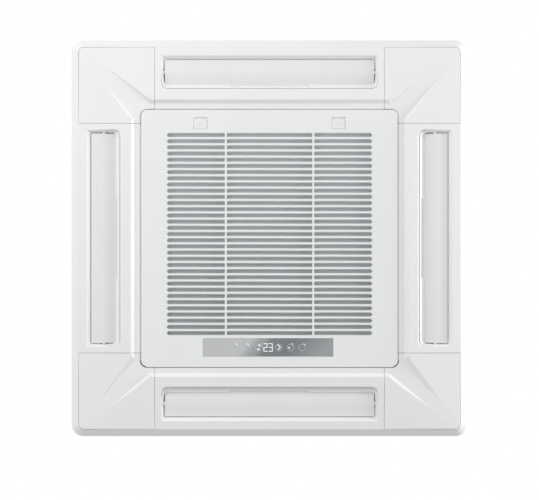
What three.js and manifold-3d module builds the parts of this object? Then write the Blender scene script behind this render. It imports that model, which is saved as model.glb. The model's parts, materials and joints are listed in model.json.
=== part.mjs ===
// Four-way ceiling cassette air conditioner: a cabinet hung above a suspended ceiling, with a square panel
// below it. Millimetres, +Z up. The origin lies on the unit's vertical axis, in the plane of the ceiling's
// lower face. The display is on the +Y side of the inlet grille, and the latches on its -Y side.

import * as THREE from "three";
import { mergeVertices } from "three/addons/utils/BufferGeometryUtils.js";
import { ConvexGeometry } from "three/addons/geometries/ConvexGeometry.js";
import Module from "manifold-3d";

const wasm = await Module();
wasm.setup();

// ---- Driving dimensions: fits ----
const GAP = 0.3; // assembly clearance between pieces that seat on each other
const SEAM = 1.5; // visible seam between the panel's mouldings
const SKIN = 3; // wall of the panel's mouldings

// ---- Driving dimensions: cabinet ----
const CABINET = 840; // outer side of the cabinet
const CABINET_CUT = 140; // leg of the chamfer at its four corners
const CABINET_BOTTOM = 12; // its lower edge above the ceiling plane
const CABINET_HEIGHT = 234;
const SHEET = 1.5; // sheet metal
const LINER = 14; // insulation on the side walls
const LINER_ROOF = 7; // insulation under the top plate
const BEAD = 2.5; // height of the pressed stiffening beads
const TOP_LIP = 12; // downward lip round the top plate
const LUG_PITCH_X = 780; // between hanging rods, along X
const LUG_PITCH_Y = 680; // between hanging rods, along Y
const LUG_HEIGHT = 105; // lug tab above the ceiling plane
const LUG_WIDTH = 44;
const LUG_LEAF = 46; // height of the leaf against the cabinet
const LUG_SHEET = 2.5;
const ROD_SLOT = 12; // width of the slot for the hanging rod

// ---- Driving dimensions: service corner ----
const PIPE_WINDOW = { across: [8, 82], z: [98, 172] }; // hole in the sheet behind the pipe plate
const PIPE_EXIT = [
  { name: "gas", across: 26, z: 120, radius: 8 },
  { name: "liquid", across: 62, z: 152, radius: 4.8 },
];
const PIPE_OUT = 48; // from the corner's face to the pipes' ends
const PIPE_WALL = 1.2;
const BORE_DEPTH = 34; // how deep the open end of a pipe is bored
const HEADER_RADIUS = 9;
const DRAIN_EXIT = { across: 45, z: 205, radius: 12 };
const DRAIN_OUT = 42; // from the corner's face to the drain's end
const DRAIN_WALL = 2.4;
const COIL_PLATE = 1.5; // sheet on each end of the coil
const PUMP_INSET = 26; // from the coil's inner side to the pump's centre
const PUMP_PLACE = 88; // from the coil's end to the pump's centre
const PUMP_RADIUS = 19;
const PUMP_TOP = 138;
const SUMP_DEPTH = 7; // under the trough's floor
const FLOAT_INSET = 20; // from the coil's inner side to the float
const FLOAT_PLACE = 50; // from the coil's end to the float

// ---- Driving dimensions: air path in the cabinet ----
const DUCT_WIDTH = 36; // outlet duct between coil side and cabinet side
const DUCT_HALF = 250; // half length of an outlet duct
const PAN_HEIGHT = 52;
const PAN_FLOOR = 18; // thickness of the drain pan under its trough
const PAN_DIVIDER = 22; // between trough and outlet duct
const PAN_RIM = 6; // between trough and inlet
const COIL_DEPTH = 36;
const COIL_PLAY = 4; // between coil and trough walls
const COIL_BEND = 56; // outer radius of the coil's bends
const COIL_END = 190; // where the coil stops beside the service corner
const COIL_FOOT = 4.5; // coil above the trough floor
const MOUTH_RADIUS = 228; // bell mouth at its lower edge
const THROAT_RADIUS = 178;
const BELL_SHEET = 2.2;
const BELL_TOP = 102; // top of the bell mouth above the ceiling plane
const FAN_RADIUS = 232;
const FAN_TOP = 226; // top of the fan's back plate at its edge
const FAN_WALL = 3.2;
const SHROUD_BOTTOM = 96;
const SHROUD_RISE = 24; // from the eye to the shroud's rim
const EYE_GAP = 6; // running gap between bell mouth and fan shroud
const BLADES = 7;
const BLADE_ROOT = 132; // radius of the blades' leading edges
const BLADE_SWEEP = 44; // degrees that a blade lags behind from root to tip
const MOTOR_RADIUS = 74;
const MOTOR_BOTTOM = 172;
const MOTOR_CLEAR = 8; // fan hub below the motor
const SHAFT_RADIUS = 6;
const BELL_PLATE = 3; // flat flange of the bell mouth

// ---- Driving dimensions: control box ----
const BOX_HALF = 160;
const BOX_TOP = 52; // above the ceiling plane
const BOX_FLANGE = 6;
const BOX_CLEAR = 10; // from the bell mouth to the box
const TERMINAL_END = -102; // where the terminal block ends, along X
const BOARD_START = -92; // where the circuit board starts, along X

// ---- Driving dimensions: panel ----
const PANEL_CORNER = 28; // outer corner radius
const PANEL_LIP = 4; // thickness of the outer edge
const PANEL_MARGIN = 18; // sloped margin outside the corner covers
const PANEL_BORDER = 36; // from the outlets to the panel's edge
const FACE_EDGE = 24; // depth of the face below the ceiling at the margin
const FACE_STEP = 32; // depth of the face at the step round the grille
const RECESS = 24; // depth of the recess floor round the grille
const STEP_LAND = 26.5; // face between outlets and step
const STEP_CUT = 36; // chamfer at the recess's corners
const RECESS_LAND = 13; // recess floor between step and grille opening
const UPSTAND = 9; // height of the walls that meet the cabinet
const UPSTAND_INSET = 4; // from the cabinet's side to the wall below it
const UPSTAND_WALL = 6;
const SHELF = 25; // width of the ledge behind the grille's edge
const SHELF_CORNER = 1.2; // radius at the corners of the ledge's opening
const SHELF_RISE = 7; // ledge above the grille's back, which leaves room for its edge to swing up
const COVER_LAND = 15; // from an outlet's end to the corner cover
const VALLEY_END = 401; // where the valley in a corner runs out, from the centre along X and Y
const VALLEY_HALF = 14; // half width of the valley's outer end
const POCKET_FLOOR = 2.5; // wall under each corner cover
const BOLT_PLACE = 325; // panel bolts, from the centre along X and Y
const BOLT_HOLE = 3.3;
const BOLT_SEAT = 6; // depth of a bolt head's seat below the ceiling plane

// ---- Driving dimensions: outlets and louvres ----
const PIVOT_INSET = 8.2; // louvre axis inside the duct's outer wall
const PIVOT_DEPTH = 15.5; // louvre axis below the ceiling plane
const BLADE_WIDTH = 52;
const BLADE_SAG = 4; // crown of the louvre blade
const BLADE_DEPTH = 21; // lowest point of the louvre blade
const BLADE_WALL = 2.4;
const BLADE_END_GAP = 2.5; // between blade and duct end
const TONGUE_HALF = 92.5;
const TONGUE_REACH = 5.5;
const OUTLET_INNER = 38.5; // from the louvre axis to the outlet's inner edge in the face
const OUTLET_OUTER = 43; // from the louvre axis to the outlet's outer edge in the face
const OUTLET_END = 9; // the outlet's flare beyond the duct at each end
const THROAT_DEPTH = 15; // where the outlet's sloped walls start
const HUB_RADIUS = 4.5;
const PIN_RADIUS = 3;
const STEPPER_RADIUS = 10;
const STEPPER_LENGTH = 15;
const STEPPER_OFFSET = 5; // motor centre above its shaft
const STEPPER_EAR = 3; // the flange beyond the motor's side
const SHAFT_SMALL = 2.2; // radius of the geared motor's shaft
const BUSH_RADIUS = 5;
const END_FLARE = 5; // from the duct's end wall to the seat of bush and motor

// ---- Driving dimensions: inlet grille ----
const GRILLE_GAP = 3; // between grille and panel
const GRILLE_CORNER = 14;
const GRILLE_FACE = 25.5; // depth of the grille's face below the ceiling
const GRILLE_PLATE = 5.5;
const GRILLE_DEPTH = 12;
const SLAT_DEPTH = 9;
const SLAT_LEAN = 2.5; // how far a slat leans over its depth
const SLOT_PITCH = 14.8;
const SLOT_HEIGHT = 9.9;
const SIDE_BORDER = 60.5; // from the grille's side edges to the slots
const LATCH_BORDER = 55; // from the grille's -Y edge to the slots
const DISPLAY_BORDER = 75; // from the grille's +Y edge to the slots
const CROSS_RIB = 4.5;
const CROSS_RIB_PLACE = 104.5;
const FIELD_EDGE = 5; // solid edge round the slots
const FILTER_LAP = 10; // how far the filter laps over the slots' edge
const FILTER_DEPTH = 7;
const FILTER_SEAT = 2.5; // how deep the filter lies in its seat behind the slots
const HINGE_INSET = 11; // hinge axis inside the grille's edge
const HINGE_DEPTH = 20; // hinge axis below the ceiling plane
const HINGE_PLACE = 200;
const HINGE_PIN = 2;
const HINGE_LENGTH = 18;
const HINGE_SLEEVE = 1.6; // wall of the grille's sleeve round the hinge pin
const BRACE_FRONT = 120; // braces behind the latch side, from the middle
const BRACE_REAR = 190; // braces behind the display side, from the middle
const LATCH_PLACE = 165;
const LATCH_WIDTH = 32;
const LATCH_LENGTH = 23.5;
const LATCH_TRAVEL = 3;
const LATCH_INSET = 33; // latch centre inside the grille's edge
const LATCH_FLOOR = 3.3; // depth of the pocket that the button lies in
const LATCH_SIDE = 0.5; // between the button and its pocket's sides
const STEM = { x: 6, y: 5 }; // half sizes of the stem that joins the button to its head
const DISPLAY_LENGTH = 311;
const DISPLAY_WIDTH = 43;
const DISPLAY_SHIFT = -3.5; // display centre along X
const DISPLAY_INSET = 46; // display centre inside the grille's edge
const DISPLAY_DEPTH = 2.2;
const BOARD = 1.6; // circuit board thickness
const BOARD_HALF = [65, 16]; // half sizes of the display board
const LED_HALF = [56, 12]; // half sizes of the block of lights on it

// ---- Derived: cabinet, from the outside in ----
const cabinetHalf = CABINET / 2;
const cabinetTop = CABINET_BOTTOM + CABINET_HEIGHT;
const linerHalf = cabinetHalf - SHEET - GAP;
const ductOuter = linerHalf - LINER;
const ductInner = ductOuter - DUCT_WIDTH;
const troughOuter = ductInner - PAN_DIVIDER;
const coilOuter = troughOuter - COIL_PLAY;
const coilInner = coilOuter - COIL_DEPTH;
const troughInner = coilInner - COIL_PLAY;
const panHole = troughInner - PAN_RIM;
const panTop = CABINET_BOTTOM + PAN_HEIGHT;
const troughFloor = CABINET_BOTTOM + PAN_FLOOR;
const roof = cabinetTop - GAP - LINER_ROOF;
const coilBottom = troughFloor + COIL_FOOT;
const coilTop = roof - GAP;
const cornerFace = cabinetHalf * Math.SQRT2 - CABINET_CUT / Math.SQRT2;
const headerX = COIL_END + GAP + COIL_PLATE;
const pipeEnd = cornerFace + PIPE_OUT;
const pumpSpot = [coilInner + PUMP_INSET, COIL_END + PUMP_PLACE];
const floatSpot = [coilInner + FLOAT_INSET, COIL_END + FLOAT_PLACE];

// ---- Derived: panel, from the louvre axis out and in ----
const pivot = ductOuter - PIVOT_INSET;
const outletInner = pivot - OUTLET_INNER;
const outletOuter = pivot + OUTLET_OUTER;
const outletHalf = DUCT_HALF + OUTLET_END;
const panelHalf = outletOuter + PANEL_BORDER;
const faceHalf = panelHalf - PANEL_MARGIN;
const coverStart = outletHalf + COVER_LAND;
const stepHalf = outletInner - STEP_LAND;
const recessHalf = stepHalf - (FACE_STEP - RECESS);
const openingHalf = recessHalf - RECESS_LAND;
const shelfHalf = openingHalf - SHELF;
const gasketTop = CABINET_BOTTOM - GAP;
const bushHole = BUSH_RADIUS + GAP;
const endWall = DUCT_HALF + 1 + SKIN;
const wallBack = endWall + END_FLARE; // behind the outlet's flared end wall
const bladeHalf = DUCT_HALF - BLADE_END_GAP;

// ---- Derived: bell mouth, fan and control box ----
const bellPlateTop = CABINET_BOTTOM - GAP;
const bellHalf = openingHalf - 1;
const boxInner = MOUTH_RADIUS + BOX_CLEAR;
const boxOuter = panHole - 4;
const flangeTop = bellPlateTop - BELL_PLATE - GAP;
const eyeRadius = THROAT_RADIUS + EYE_GAP;
const hubTop = MOTOR_BOTTOM - MOTOR_CLEAR;
const hubWall = MOTOR_RADIUS + 12;
const bossBottom = hubTop - 26;

// ---- Derived: grille ----
const grilleHalf = openingHalf - GRILLE_GAP;
const grilleBack = GRILLE_DEPTH - GRILLE_FACE;
const slotLeft = -(grilleHalf - SIDE_BORDER);
const slotLow = -(grilleHalf - LATCH_BORDER);
const slotSpace = 2 * grilleHalf - LATCH_BORDER - DISPLAY_BORDER;
const slotCount = Math.floor((slotSpace + SLOT_PITCH - SLOT_HEIGHT) / SLOT_PITCH);
const slotHigh = slotLow + (slotCount - 1) * SLOT_PITCH + SLOT_HEIGHT;
const hingeY = grilleHalf - HINGE_INSET;
const latchY = -(grilleHalf - LATCH_INSET);
const displayY = grilleHalf - DISPLAY_INSET;
const filterHalf = -slotLeft + FILTER_LAP + FIELD_EDGE;
const filterLow = slotLow - FILTER_LAP;
const filterHigh = slotHigh + FILTER_LAP;
const hingeFloor = -HINGE_DEPTH - HINGE_PIN - 2 * GAP;
const latchPocket = {
  x: LATCH_WIDTH / 2 + LATCH_SIDE,
  low: latchY - LATCH_LENGTH / 2 - LATCH_TRAVEL - GAP,
  high: latchY + LATCH_LENGTH / 2 + GAP,
};

// ---- Tools: solids from three.js geometry ----

// Six times the volume that a triangle list encloses, negative where its faces point inwards.
function signedVolume(points, index) {
  let sum = 0;
  for (let i = 0; i < index.length; i += 3) {
    const [a, b, c] = [0, 1, 2].map((k) => new THREE.Vector3().fromArray(points, 3 * index[i + k]));
    sum += a.dot(b.cross(c));
  }
  return sum;
}

// A closed geometry as a solid, with its shared corners merged and its faces turned outwards.
function solid(source) {
  const bare = source.clone();
  bare.deleteAttribute("normal");
  bare.deleteAttribute("uv");
  const merged = mergeVertices(bare, 1e-3);
  const points = Float32Array.from(merged.attributes.position.array);
  const index = [];
  for (let i = 0; i < merged.index.count; i += 3) {
    const [a, b, c] = [0, 1, 2].map((k) => merged.index.getX(i + k));
    if (a !== b && b !== c && c !== a) index.push(a, b, c);
  }
  if (signedVolume(points, index) < 0) index.reverse();
  const triVerts = Uint32Array.from(index);
  return new wasm.Manifold(new wasm.Mesh({ numProp: 3, vertProperties: points, triVerts }));
}

function geometryOf(body) {
  const { vertProperties, triVerts } = body.getMesh();
  const geometry = new THREE.BufferGeometry();
  geometry.setAttribute("position", new THREE.BufferAttribute(vertProperties, 3));
  geometry.setIndex(new THREE.BufferAttribute(triVerts, 1));
  geometry.computeVertexNormals();
  return geometry;
}

// A copy of a solid, turned by a number of degrees about Z and then moved.
function placed(body, degrees, x = 0, y = 0, z = 0) {
  const geometry = geometryOf(body);
  geometry.rotateZ(THREE.MathUtils.degToRad(degrees));
  geometry.translate(x, y, z);
  return solid(geometry);
}

function join(bodies) {
  return bodies.reduce((whole, body) => whole.add(body));
}

function cut(body, cutters) {
  return cutters.reduce((rest, cutter) => rest.subtract(cutter), body);
}

// The same solid on each of the four sides.
function onFourSides(body) {
  return [0, 90, 180, 270].map((degrees) => placed(body, degrees));
}

function block([x0, x1], [y0, y1], [z0, z1]) {
  const geometry = new THREE.BoxGeometry(x1 - x0, y1 - y0, z1 - z0);
  geometry.translate((x0 + x1) / 2, (y0 + y1) / 2, (z0 + z1) / 2);
  return solid(geometry);
}

// An upright round bar, or a cone where the two radii differ.
function bar(x, y, z0, z1, radius, sides = 20, topRadius = radius) {
  const geometry = new THREE.CylinderGeometry(topRadius, radius, z1 - z0, sides);
  geometry.rotateX(Math.PI / 2);
  geometry.translate(x, y, (z0 + z1) / 2);
  return solid(geometry);
}

// A round bar along Y.
function barAlongY(x, z, y0, y1, radius, sides = 20) {
  const geometry = new THREE.CylinderGeometry(radius, radius, y1 - y0, sides);
  geometry.translate(x, (y0 + y1) / 2, z);
  return solid(geometry);
}

function shapeOf(points, hole = null) {
  const shape = new THREE.Shape(points.map(([x, y]) => new THREE.Vector2(x, y)));
  if (hole) shape.holes.push(new THREE.Path(hole.map(([x, y]) => new THREE.Vector2(x, y))));
  return shape;
}

function prism(shape, z0, z1) {
  const geometry = new THREE.ExtrudeGeometry(shape, { depth: z1 - z0, bevelEnabled: false });
  geometry.translate(0, 0, z0);
  return solid(geometry);
}

// A body of revolution about Z, from a closed profile of [radius, height] points.
function turned(profile, segments) {
  const points = [...profile, profile[0]].map(([r, z]) => new THREE.Vector2(r, z));
  const geometry = new THREE.LatheGeometry(points, segments);
  geometry.rotateX(Math.PI / 2);
  return solid(geometry);
}

// A skin over outlines of equal point count at rising or falling heights, closed at both ends. The outlines
// run anticlockwise.
function loft(levels) {
  const count = levels[0].outline.length;
  const positions = levels.flatMap(({ outline, z }) => outline.flatMap(([x, y]) => [x, y, z]));
  const index = [];
  for (let level = 0; level < levels.length - 1; level += 1) {
    for (let i = 0; i < count; i += 1) {
      const a = level * count + i;
      const b = level * count + ((i + 1) % count);
      index.push(a, b, b + count, a, b + count, a + count);
    }
  }
  const last = (levels.length - 1) * count;
  const vectors = levels[0].outline.map(([x, y]) => new THREE.Vector2(x, y));
  for (const [a, b, c] of THREE.ShapeUtils.triangulateShape(vectors, [])) {
    index.push(c, b, a, last + a, last + b, last + c);
  }
  const geometry = new THREE.BufferGeometry();
  geometry.setAttribute("position", new THREE.Float32BufferAttribute(positions, 3));
  geometry.setIndex(index);
  return solid(geometry.toNonIndexed());
}

// A tube of a regular section along a smooth curve through the points.
function tube(points, radius, sides, steps) {
  const vectors = points.map((point) => new THREE.Vector3(...point));
  const path = new THREE.CatmullRomCurve3(vectors, false, "centripetal");
  const corners = Array.from({ length: sides }, (_, i) => (2 * Math.PI * i) / sides);
  const section = shapeOf(corners.map((angle) => [radius * Math.cos(angle), radius * Math.sin(angle)]));
  return solid(new THREE.ExtrudeGeometry(section, { extrudePath: path, steps, bevelEnabled: false }));
}

// ---- Tools: outlines ----

// A rectangle with a radius at each corner, in the order (+x,+y), (-x,+y), (-x,-y), (+x,-y).
function rounded([x0, x1], [y0, y1], radii, steps = 4) {
  const [a, b, c, d] = Array.isArray(radii) ? radii : [radii, radii, radii, radii];
  const corners = [[x1 - a, y1 - a, a], [x0 + b, y1 - b, b], [x0 + c, y0 + c, c], [x1 - d, y0 + d, d]];
  return corners.flatMap(([x, y, radius], quarter) =>
    Array.from({ length: steps + 1 }, (_, i) => {
      const angle = (Math.PI / 2) * (quarter + i / steps);
      return [x + radius * Math.cos(angle), y + radius * Math.sin(angle)];
    }),
  );
}

function square(half, radius, steps = 4) {
  return rounded([-half, half], [-half, half], radius, steps);
}

function octagon(half, leg) {
  const near = half - leg;
  const corners = [[half, near], [near, half], [-near, half], [-half, near]];
  return [...corners, ...corners.map(([x, y]) => [-x, -y])];
}

// A convex outline moved outwards by a distance, or inwards by a negative one.
function spread(outline, distance) {
  const count = outline.length;
  const normal = ([x0, y0], [x1, y1]) => {
    const length = Math.hypot(x1 - x0, y1 - y0);
    return [(y1 - y0) / length, (x0 - x1) / length];
  };
  return outline.map((point, i) => {
    const before = normal(outline[(i + count - 1) % count], point);
    const after = normal(point, outline[(i + 1) % count]);
    const scale = distance / (1 + before[0] * after[0] + before[1] * after[1]);
    return [point[0] + scale * (before[0] + after[0]), point[1] + scale * (before[1] + after[1])];
  });
}

// A point given along and across the diagonal of the service corner, at +X and +Y.
function inCorner(along, across) {
  return [(along - across) / Math.SQRT2, (along + across) / Math.SQRT2];
}

// ---- Materials ----
function finish(color, roughness, metalness = 0) {
  return new THREE.MeshStandardMaterial({ color, roughness, metalness, flatShading: true });
}
const white = finish(0xeeeeea, 0.42);
const louvreWhite = finish(0xe8e8e4, 0.45);
const zinc = finish(0xb9bdc0, 0.45, 0.9);
const foam = finish(0xd9dad6, 0.95);
const fins = finish(0xc4c9cc, 0.5, 0.85);
const copper = finish(0xb87345, 0.35, 0.9);
const brass = finish(0xb5974e, 0.35, 0.9);
const black = finish(0x2b2d2f, 0.6);
const fanPlastic = finish(0xd5d7d6, 0.5);
const motorSteel = finish(0x8d9194, 0.4, 0.8);
const mirrorSilver = finish(0x9a9c9d, 0.12, 0.9);
const circuit = finish(0x2f6b45, 0.6);
const gauze = finish(0x8f9496, 0.85);

const unit = new THREE.Group();

function add(name, body, material, parent = unit) {
  const mesh = new THREE.Mesh(geometryOf(body), material);
  mesh.name = name;
  parent.add(mesh);
  return mesh;
}

// ---- Cabinet ----

// A pressed bead with sloped flanks and round ends, lying along X on the plane z = 0.
function bead(length, width, height) {
  const outline = rounded([-length / 2, length / 2], [-width / 2, width / 2], width / 2 - 0.5, 2);
  return [
    { outline, z: -SHEET / 2 },
    { outline, z: 0 },
    { outline: spread(outline, -height), z: height },
  ];
}

// Eight upright walls with two rows of beads; the sheet is open at the service corner for pipes and drain.
function cabinetShell() {
  const plan = octagon(cabinetHalf, CABINET_CUT);
  const walls = prism(shapeOf(plan, spread(plan, -SHEET)), CABINET_BOTTOM, cabinetTop);
  const rise = [0.36, 0.74].map((share) => CABINET_BOTTOM + share * CABINET_HEIGHT);
  const sideLength = 2 * (cabinetHalf - CABINET_CUT);
  const beads = rise.flatMap((z) => {
    const levels = bead(0.78 * sideLength, 26, BEAD);
    const upright = geometryOf(loft(levels));
    upright.rotateX(Math.PI / 2);
    upright.rotateZ(Math.PI / 2);
    upright.translate(cabinetHalf, 0, z);
    return onFourSides(solid(upright));
  });
  const window = placed(block([cornerFace - 10, cornerFace + 10], PIPE_WINDOW.across, PIPE_WINDOW.z), 45);
  const [holeX, holeY] = inCorner(cornerFace, DRAIN_EXIT.across);
  const hole = geometryOf(barAlongY(0, 0, -10, 10, DRAIN_EXIT.radius + 2));
  hole.rotateZ(-Math.PI / 4);
  hole.translate(holeX, holeY, DRAIN_EXIT.z);
  return cut(join([walls, ...beads]), [window, solid(hole)]);
}

function cabinetTopPlate() {
  const outline = spread(octagon(cabinetHalf, CABINET_CUT), GAP + SHEET);
  const face = cabinetTop + GAP + SHEET;
  const plate = prism(shapeOf(outline), face - SHEET, face);
  const lip = prism(shapeOf(outline, spread(outline, -SHEET)), cabinetTop - TOP_LIP, face);
  const ringInner = MOTOR_RADIUS + 46;
  const ringProfile = [
    [ringInner, face - SHEET / 2],
    [ringInner + BEAD, face + BEAD],
    [ringInner + 12, face + BEAD],
    [ringInner + 12 + BEAD, face - SHEET / 2],
  ];
  const beadLength = 0.46 * cabinetHalf;
  const radial = Array.from({ length: 8 }, (_, i) => {
    const body = loft(bead(beadLength, 22, BEAD));
    const outward = placed(body, 0, ringInner + 34 + beadLength / 2, 0, face);
    return placed(outward, 45 * i);
  });
  return join([plate, lip, turned(ringProfile, 36), ...radial]);
}

function cabinetLiner() {
  const plan = spread(octagon(cabinetHalf, CABINET_CUT), -SHEET - GAP);
  const tub = prism(shapeOf(plan), panTop + GAP, cabinetTop - GAP);
  const hollow = prism(shapeOf(spread(plan, -LINER)), panTop - 1, roof);
  const motorHole = bar(0, 0, roof - 1, cabinetTop, MOTOR_RADIUS + 38, 32);
  const service = placed(block([cornerFace - 3 * LINER, cornerFace], [-72, 92], [panTop, roof]), 45);
  return cut(tub, [hollow, motorHole, service]);
}

// Lug k stands on the corner face at 45 + 90 k degrees; its slot lies at the hanging rods' pitch.
function suspensionLug(k) {
  const along = (LUG_PITCH_X + LUG_PITCH_Y) / 2 / Math.SQRT2;
  const offset = (LUG_PITCH_X - LUG_PITCH_Y) / 2 / Math.SQRT2;
  const across = k % 2 === 0 ? -offset : offset;
  const half = LUG_WIDTH / 2;
  const face = cornerFace + GAP;
  const end = along + ROD_SLOT;
  const tab = prism(
    shapeOf(rounded([face, end], [across - half, across + half], [8, 1, 1, 8], 3)),
    LUG_HEIGHT - LUG_SHEET,
    LUG_HEIGHT,
  );
  const foot = LUG_HEIGHT - LUG_LEAF;
  const leaf = block([face, face + LUG_SHEET], [across - half, across + half], [foot, LUG_HEIGHT]);
  const gussets = [-half, half - LUG_SHEET].map((start) => {
    const y = [across + start, across + start + LUG_SHEET];
    const corners = [[face, foot], [face, LUG_HEIGHT], [along - 2, LUG_HEIGHT]];
    const points = corners.flatMap(([x, z]) => y.map((side) => new THREE.Vector3(x, side, z)));
    return solid(new ConvexGeometry(points));
  });
  const slotHalf = ROD_SLOT / 2;
  const slotStart = along - slotHalf;
  const through = [LUG_HEIGHT - 10, LUG_HEIGHT + 10];
  const slot = [
    bar(slotStart, across, ...through, slotHalf, 16),
    block([slotStart, end + 5], [across - slotHalf, across + slotHalf], through),
  ];
  return placed(cut(join([tab, leaf, ...gussets]), slot), 45 + 90 * k);
}

add("cabinet_shell", cabinetShell(), zinc);
add("cabinet_top", cabinetTopPlate(), zinc);
add("cabinet_liner", cabinetLiner(), foam);
for (let k = 0; k < 4; k += 1) add(`suspension_lug_${k + 1}`, suspensionLug(k), zinc);

// ---- Coil and refrigerant pipes ----

function heatExchanger() {
  const outer = square(coilOuter, COIL_BEND);
  const inner = square(coilInner, COIL_BEND - COIL_DEPTH);
  const ring = prism(shapeOf(outer, inner), coilBottom, coilTop);
  const reach = [COIL_END, coilOuter + 10];
  return ring.subtract(block(reach, reach, [coilBottom - 1, coilTop + 1]));
}

// The plate on the coil's end, with its return bends; this one closes the end that faces +Y.
function coilEndPlate() {
  const start = COIL_END + GAP;
  const plate = block(
    [coilInner - 2, coilOuter + 2],
    [start, start + COIL_PLATE],
    [coilBottom, coilTop],
  );
  const rows = [0.28, 0.75].map((share) => coilInner + share * COIL_DEPTH);
  const pitch = (coilTop - coilBottom) / 8;
  const bends = rows.flatMap((x, row) =>
    [1, 4].map((step) => {
      const low = coilBottom + (step + 0.5 + 0.6 * row) * pitch;
      const high = low + pitch;
      const foot = start + COIL_PLATE / 2;
      const points = [
        [x, foot, low],
        [x, foot + 7, low],
        [x, foot + 7 + pitch / 2, (low + high) / 2],
        [x, foot + 7, high],
        [x, foot, high],
      ];
      return tube(points, 4, 6, 6);
    }),
  );
  return join([plate, ...bends]);
}

// Swaps X and Y, which turns a piece at the coil's one end into its twin at the other.
function mirrored(body) {
  const geometry = geometryOf(body);
  const swap = new THREE.Matrix4().set(0, 1, 0, 0, 1, 0, 0, 0, 0, 0, 1, 0, 0, 0, 0, 1);
  geometry.applyMatrix4(swap);
  return solid(geometry);
}

// The bent sheet that closes the air path between the coil's two ends, standing on the pan's rim.
function partitionPlate() {
  const half = panHole + 2;
  const ring = shapeOf(square(half + 2, 36), square(half, 34));
  const reach = [COIL_END + COIL_PLATE + 3, half + 10];
  return prism(ring, panTop + GAP, roof - GAP).intersect(block(reach, reach, [panTop, roof]));
}

// The last three points lie on one line, so that the pipe passes the wall and its nut straight.
function pipeRoute({ across, z }, startX, startY) {
  const passing = [cornerFace - 30, cornerFace - 8, pipeEnd];
  const straight = passing.map((along) => [...inCorner(along, across), z]);
  return [[startX, startY, z], [startX + 40, startY + 2, z], ...straight];
}

// The bore in the open end of a tube that leaves through the service corner.
function openEnd(across, z, end, radius) {
  return placed(roundAlongX(end - BORE_DEPTH, end + 5, across, z, radius, 8), 45);
}

// The gas pipe carries its header, an upright tube along the coil's end.
function gasPipe() {
  const { across, z, radius } = PIPE_EXIT[0];
  const [x, y] = [headerX + 16, coilOuter + 14];
  const pipe = tube(pipeRoute(PIPE_EXIT[0], x, y), radius, 8, 12);
  const header = bar(x, y, panTop + 8, coilTop - 24, HEADER_RADIUS, 8);
  return pipe.add(header).subtract(openEnd(across, z, pipeEnd, radius - PIPE_WALL));
}

function liquidPipe() {
  const { across, z, radius } = PIPE_EXIT[1];
  const pipe = tube(pipeRoute(PIPE_EXIT[1], headerX + 44, coilOuter + 20), radius, 6, 10);
  return pipe.subtract(openEnd(across, z, pipeEnd, radius - PIPE_WALL));
}

// A flare nut on the free end of a pipe.
function flareNut({ across, z, radius }) {
  const width = radius * 1.9;
  const nut = new THREE.CylinderGeometry(width, width, 20, 6);
  const collar = new THREE.CylinderGeometry(radius * 1.35, radius * 1.35, 30, 12);
  const bore = new THREE.CylinderGeometry(radius + GAP, radius + GAP, 60, 12);
  const body = solid(nut).add(solid(collar.translate(0, -5, 0))).subtract(solid(bore));
  const [x, y] = inCorner(pipeEnd - 8, across);
  const geometry = geometryOf(body);
  geometry.rotateZ(-Math.PI / 4);
  geometry.translate(x, y, z);
  return solid(geometry);
}

function pipeSealPlate() {
  const margin = 6;
  const face = cornerFace + GAP;
  const across = [PIPE_WINDOW.across[0] - margin, PIPE_WINDOW.across[1] + margin];
  const rise = [PIPE_WINDOW.z[0] - margin, PIPE_WINDOW.z[1] + margin];
  const plate = block([face, face + SHEET], across, rise);
  const grommets = PIPE_EXIT.map((exit) => roundAlongX(face, face + 7, exit.across, exit.z, exit.radius + 4));
  const holes = PIPE_EXIT.map(({ across: place, z, radius }) =>
    roundAlongX(face - 5, face + 20, place, z, radius + 2 * GAP),
  );
  return placed(cut(join([plate, ...grommets]), holes), 45);
}

function roundAlongX(x0, x1, y, z, radius, sides = 14) {
  const geometry = new THREE.CylinderGeometry(radius, radius, x1 - x0, sides);
  geometry.rotateZ(Math.PI / 2);
  geometry.translate((x0 + x1) / 2, y, z);
  return solid(geometry);
}

add("heat_exchanger", heatExchanger(), fins);
add("coil_end_plate_1", coilEndPlate(), zinc);
add("coil_end_plate_2", mirrored(coilEndPlate()), zinc);
add("partition_plate", partitionPlate(), zinc);
add("gas_pipe", gasPipe(), copper);
add("liquid_pipe", liquidPipe(), copper);
for (const exit of PIPE_EXIT) add(`${exit.name}_flare_nut`, flareNut(exit), brass);
add("pipe_seal_plate", pipeSealPlate(), zinc);

// ---- Drain ----

function drainPan() {
  const plan = spread(octagon(cabinetHalf, CABINET_CUT), -SHEET - GAP);
  const slab = prism(shapeOf(plan, square(panHole, 30)), CABINET_BOTTOM, panTop);
  const trough = prism(shapeOf(square(troughOuter, 60), square(troughInner, 34)), troughFloor, panTop + 1);
  const half = PUMP_RADIUS;
  const sump = block(
    [troughInner + 2, troughOuter - 2],
    [pumpSpot[1] - half, pumpSpot[1] + half],
    [troughFloor - SUMP_DEPTH, troughFloor + 1],
  );
  const ductPlan = rounded([ductInner, ductOuter], [-DUCT_HALF, DUCT_HALF], 6, 3);
  const ducts = onFourSides(prism(shapeOf(ductPlan), CABINET_BOTTOM - 1, panTop + 1));
  const bolts = [0, 90, 180, 270].map((degrees) =>
    placed(bar(BOLT_PLACE, BOLT_PLACE, CABINET_BOTTOM - 1, CABINET_BOTTOM + 15, BOLT_HOLE, 8), degrees),
  );
  return cut(slab, [trough, sump, ...ducts, ...bolts]);
}

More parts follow.
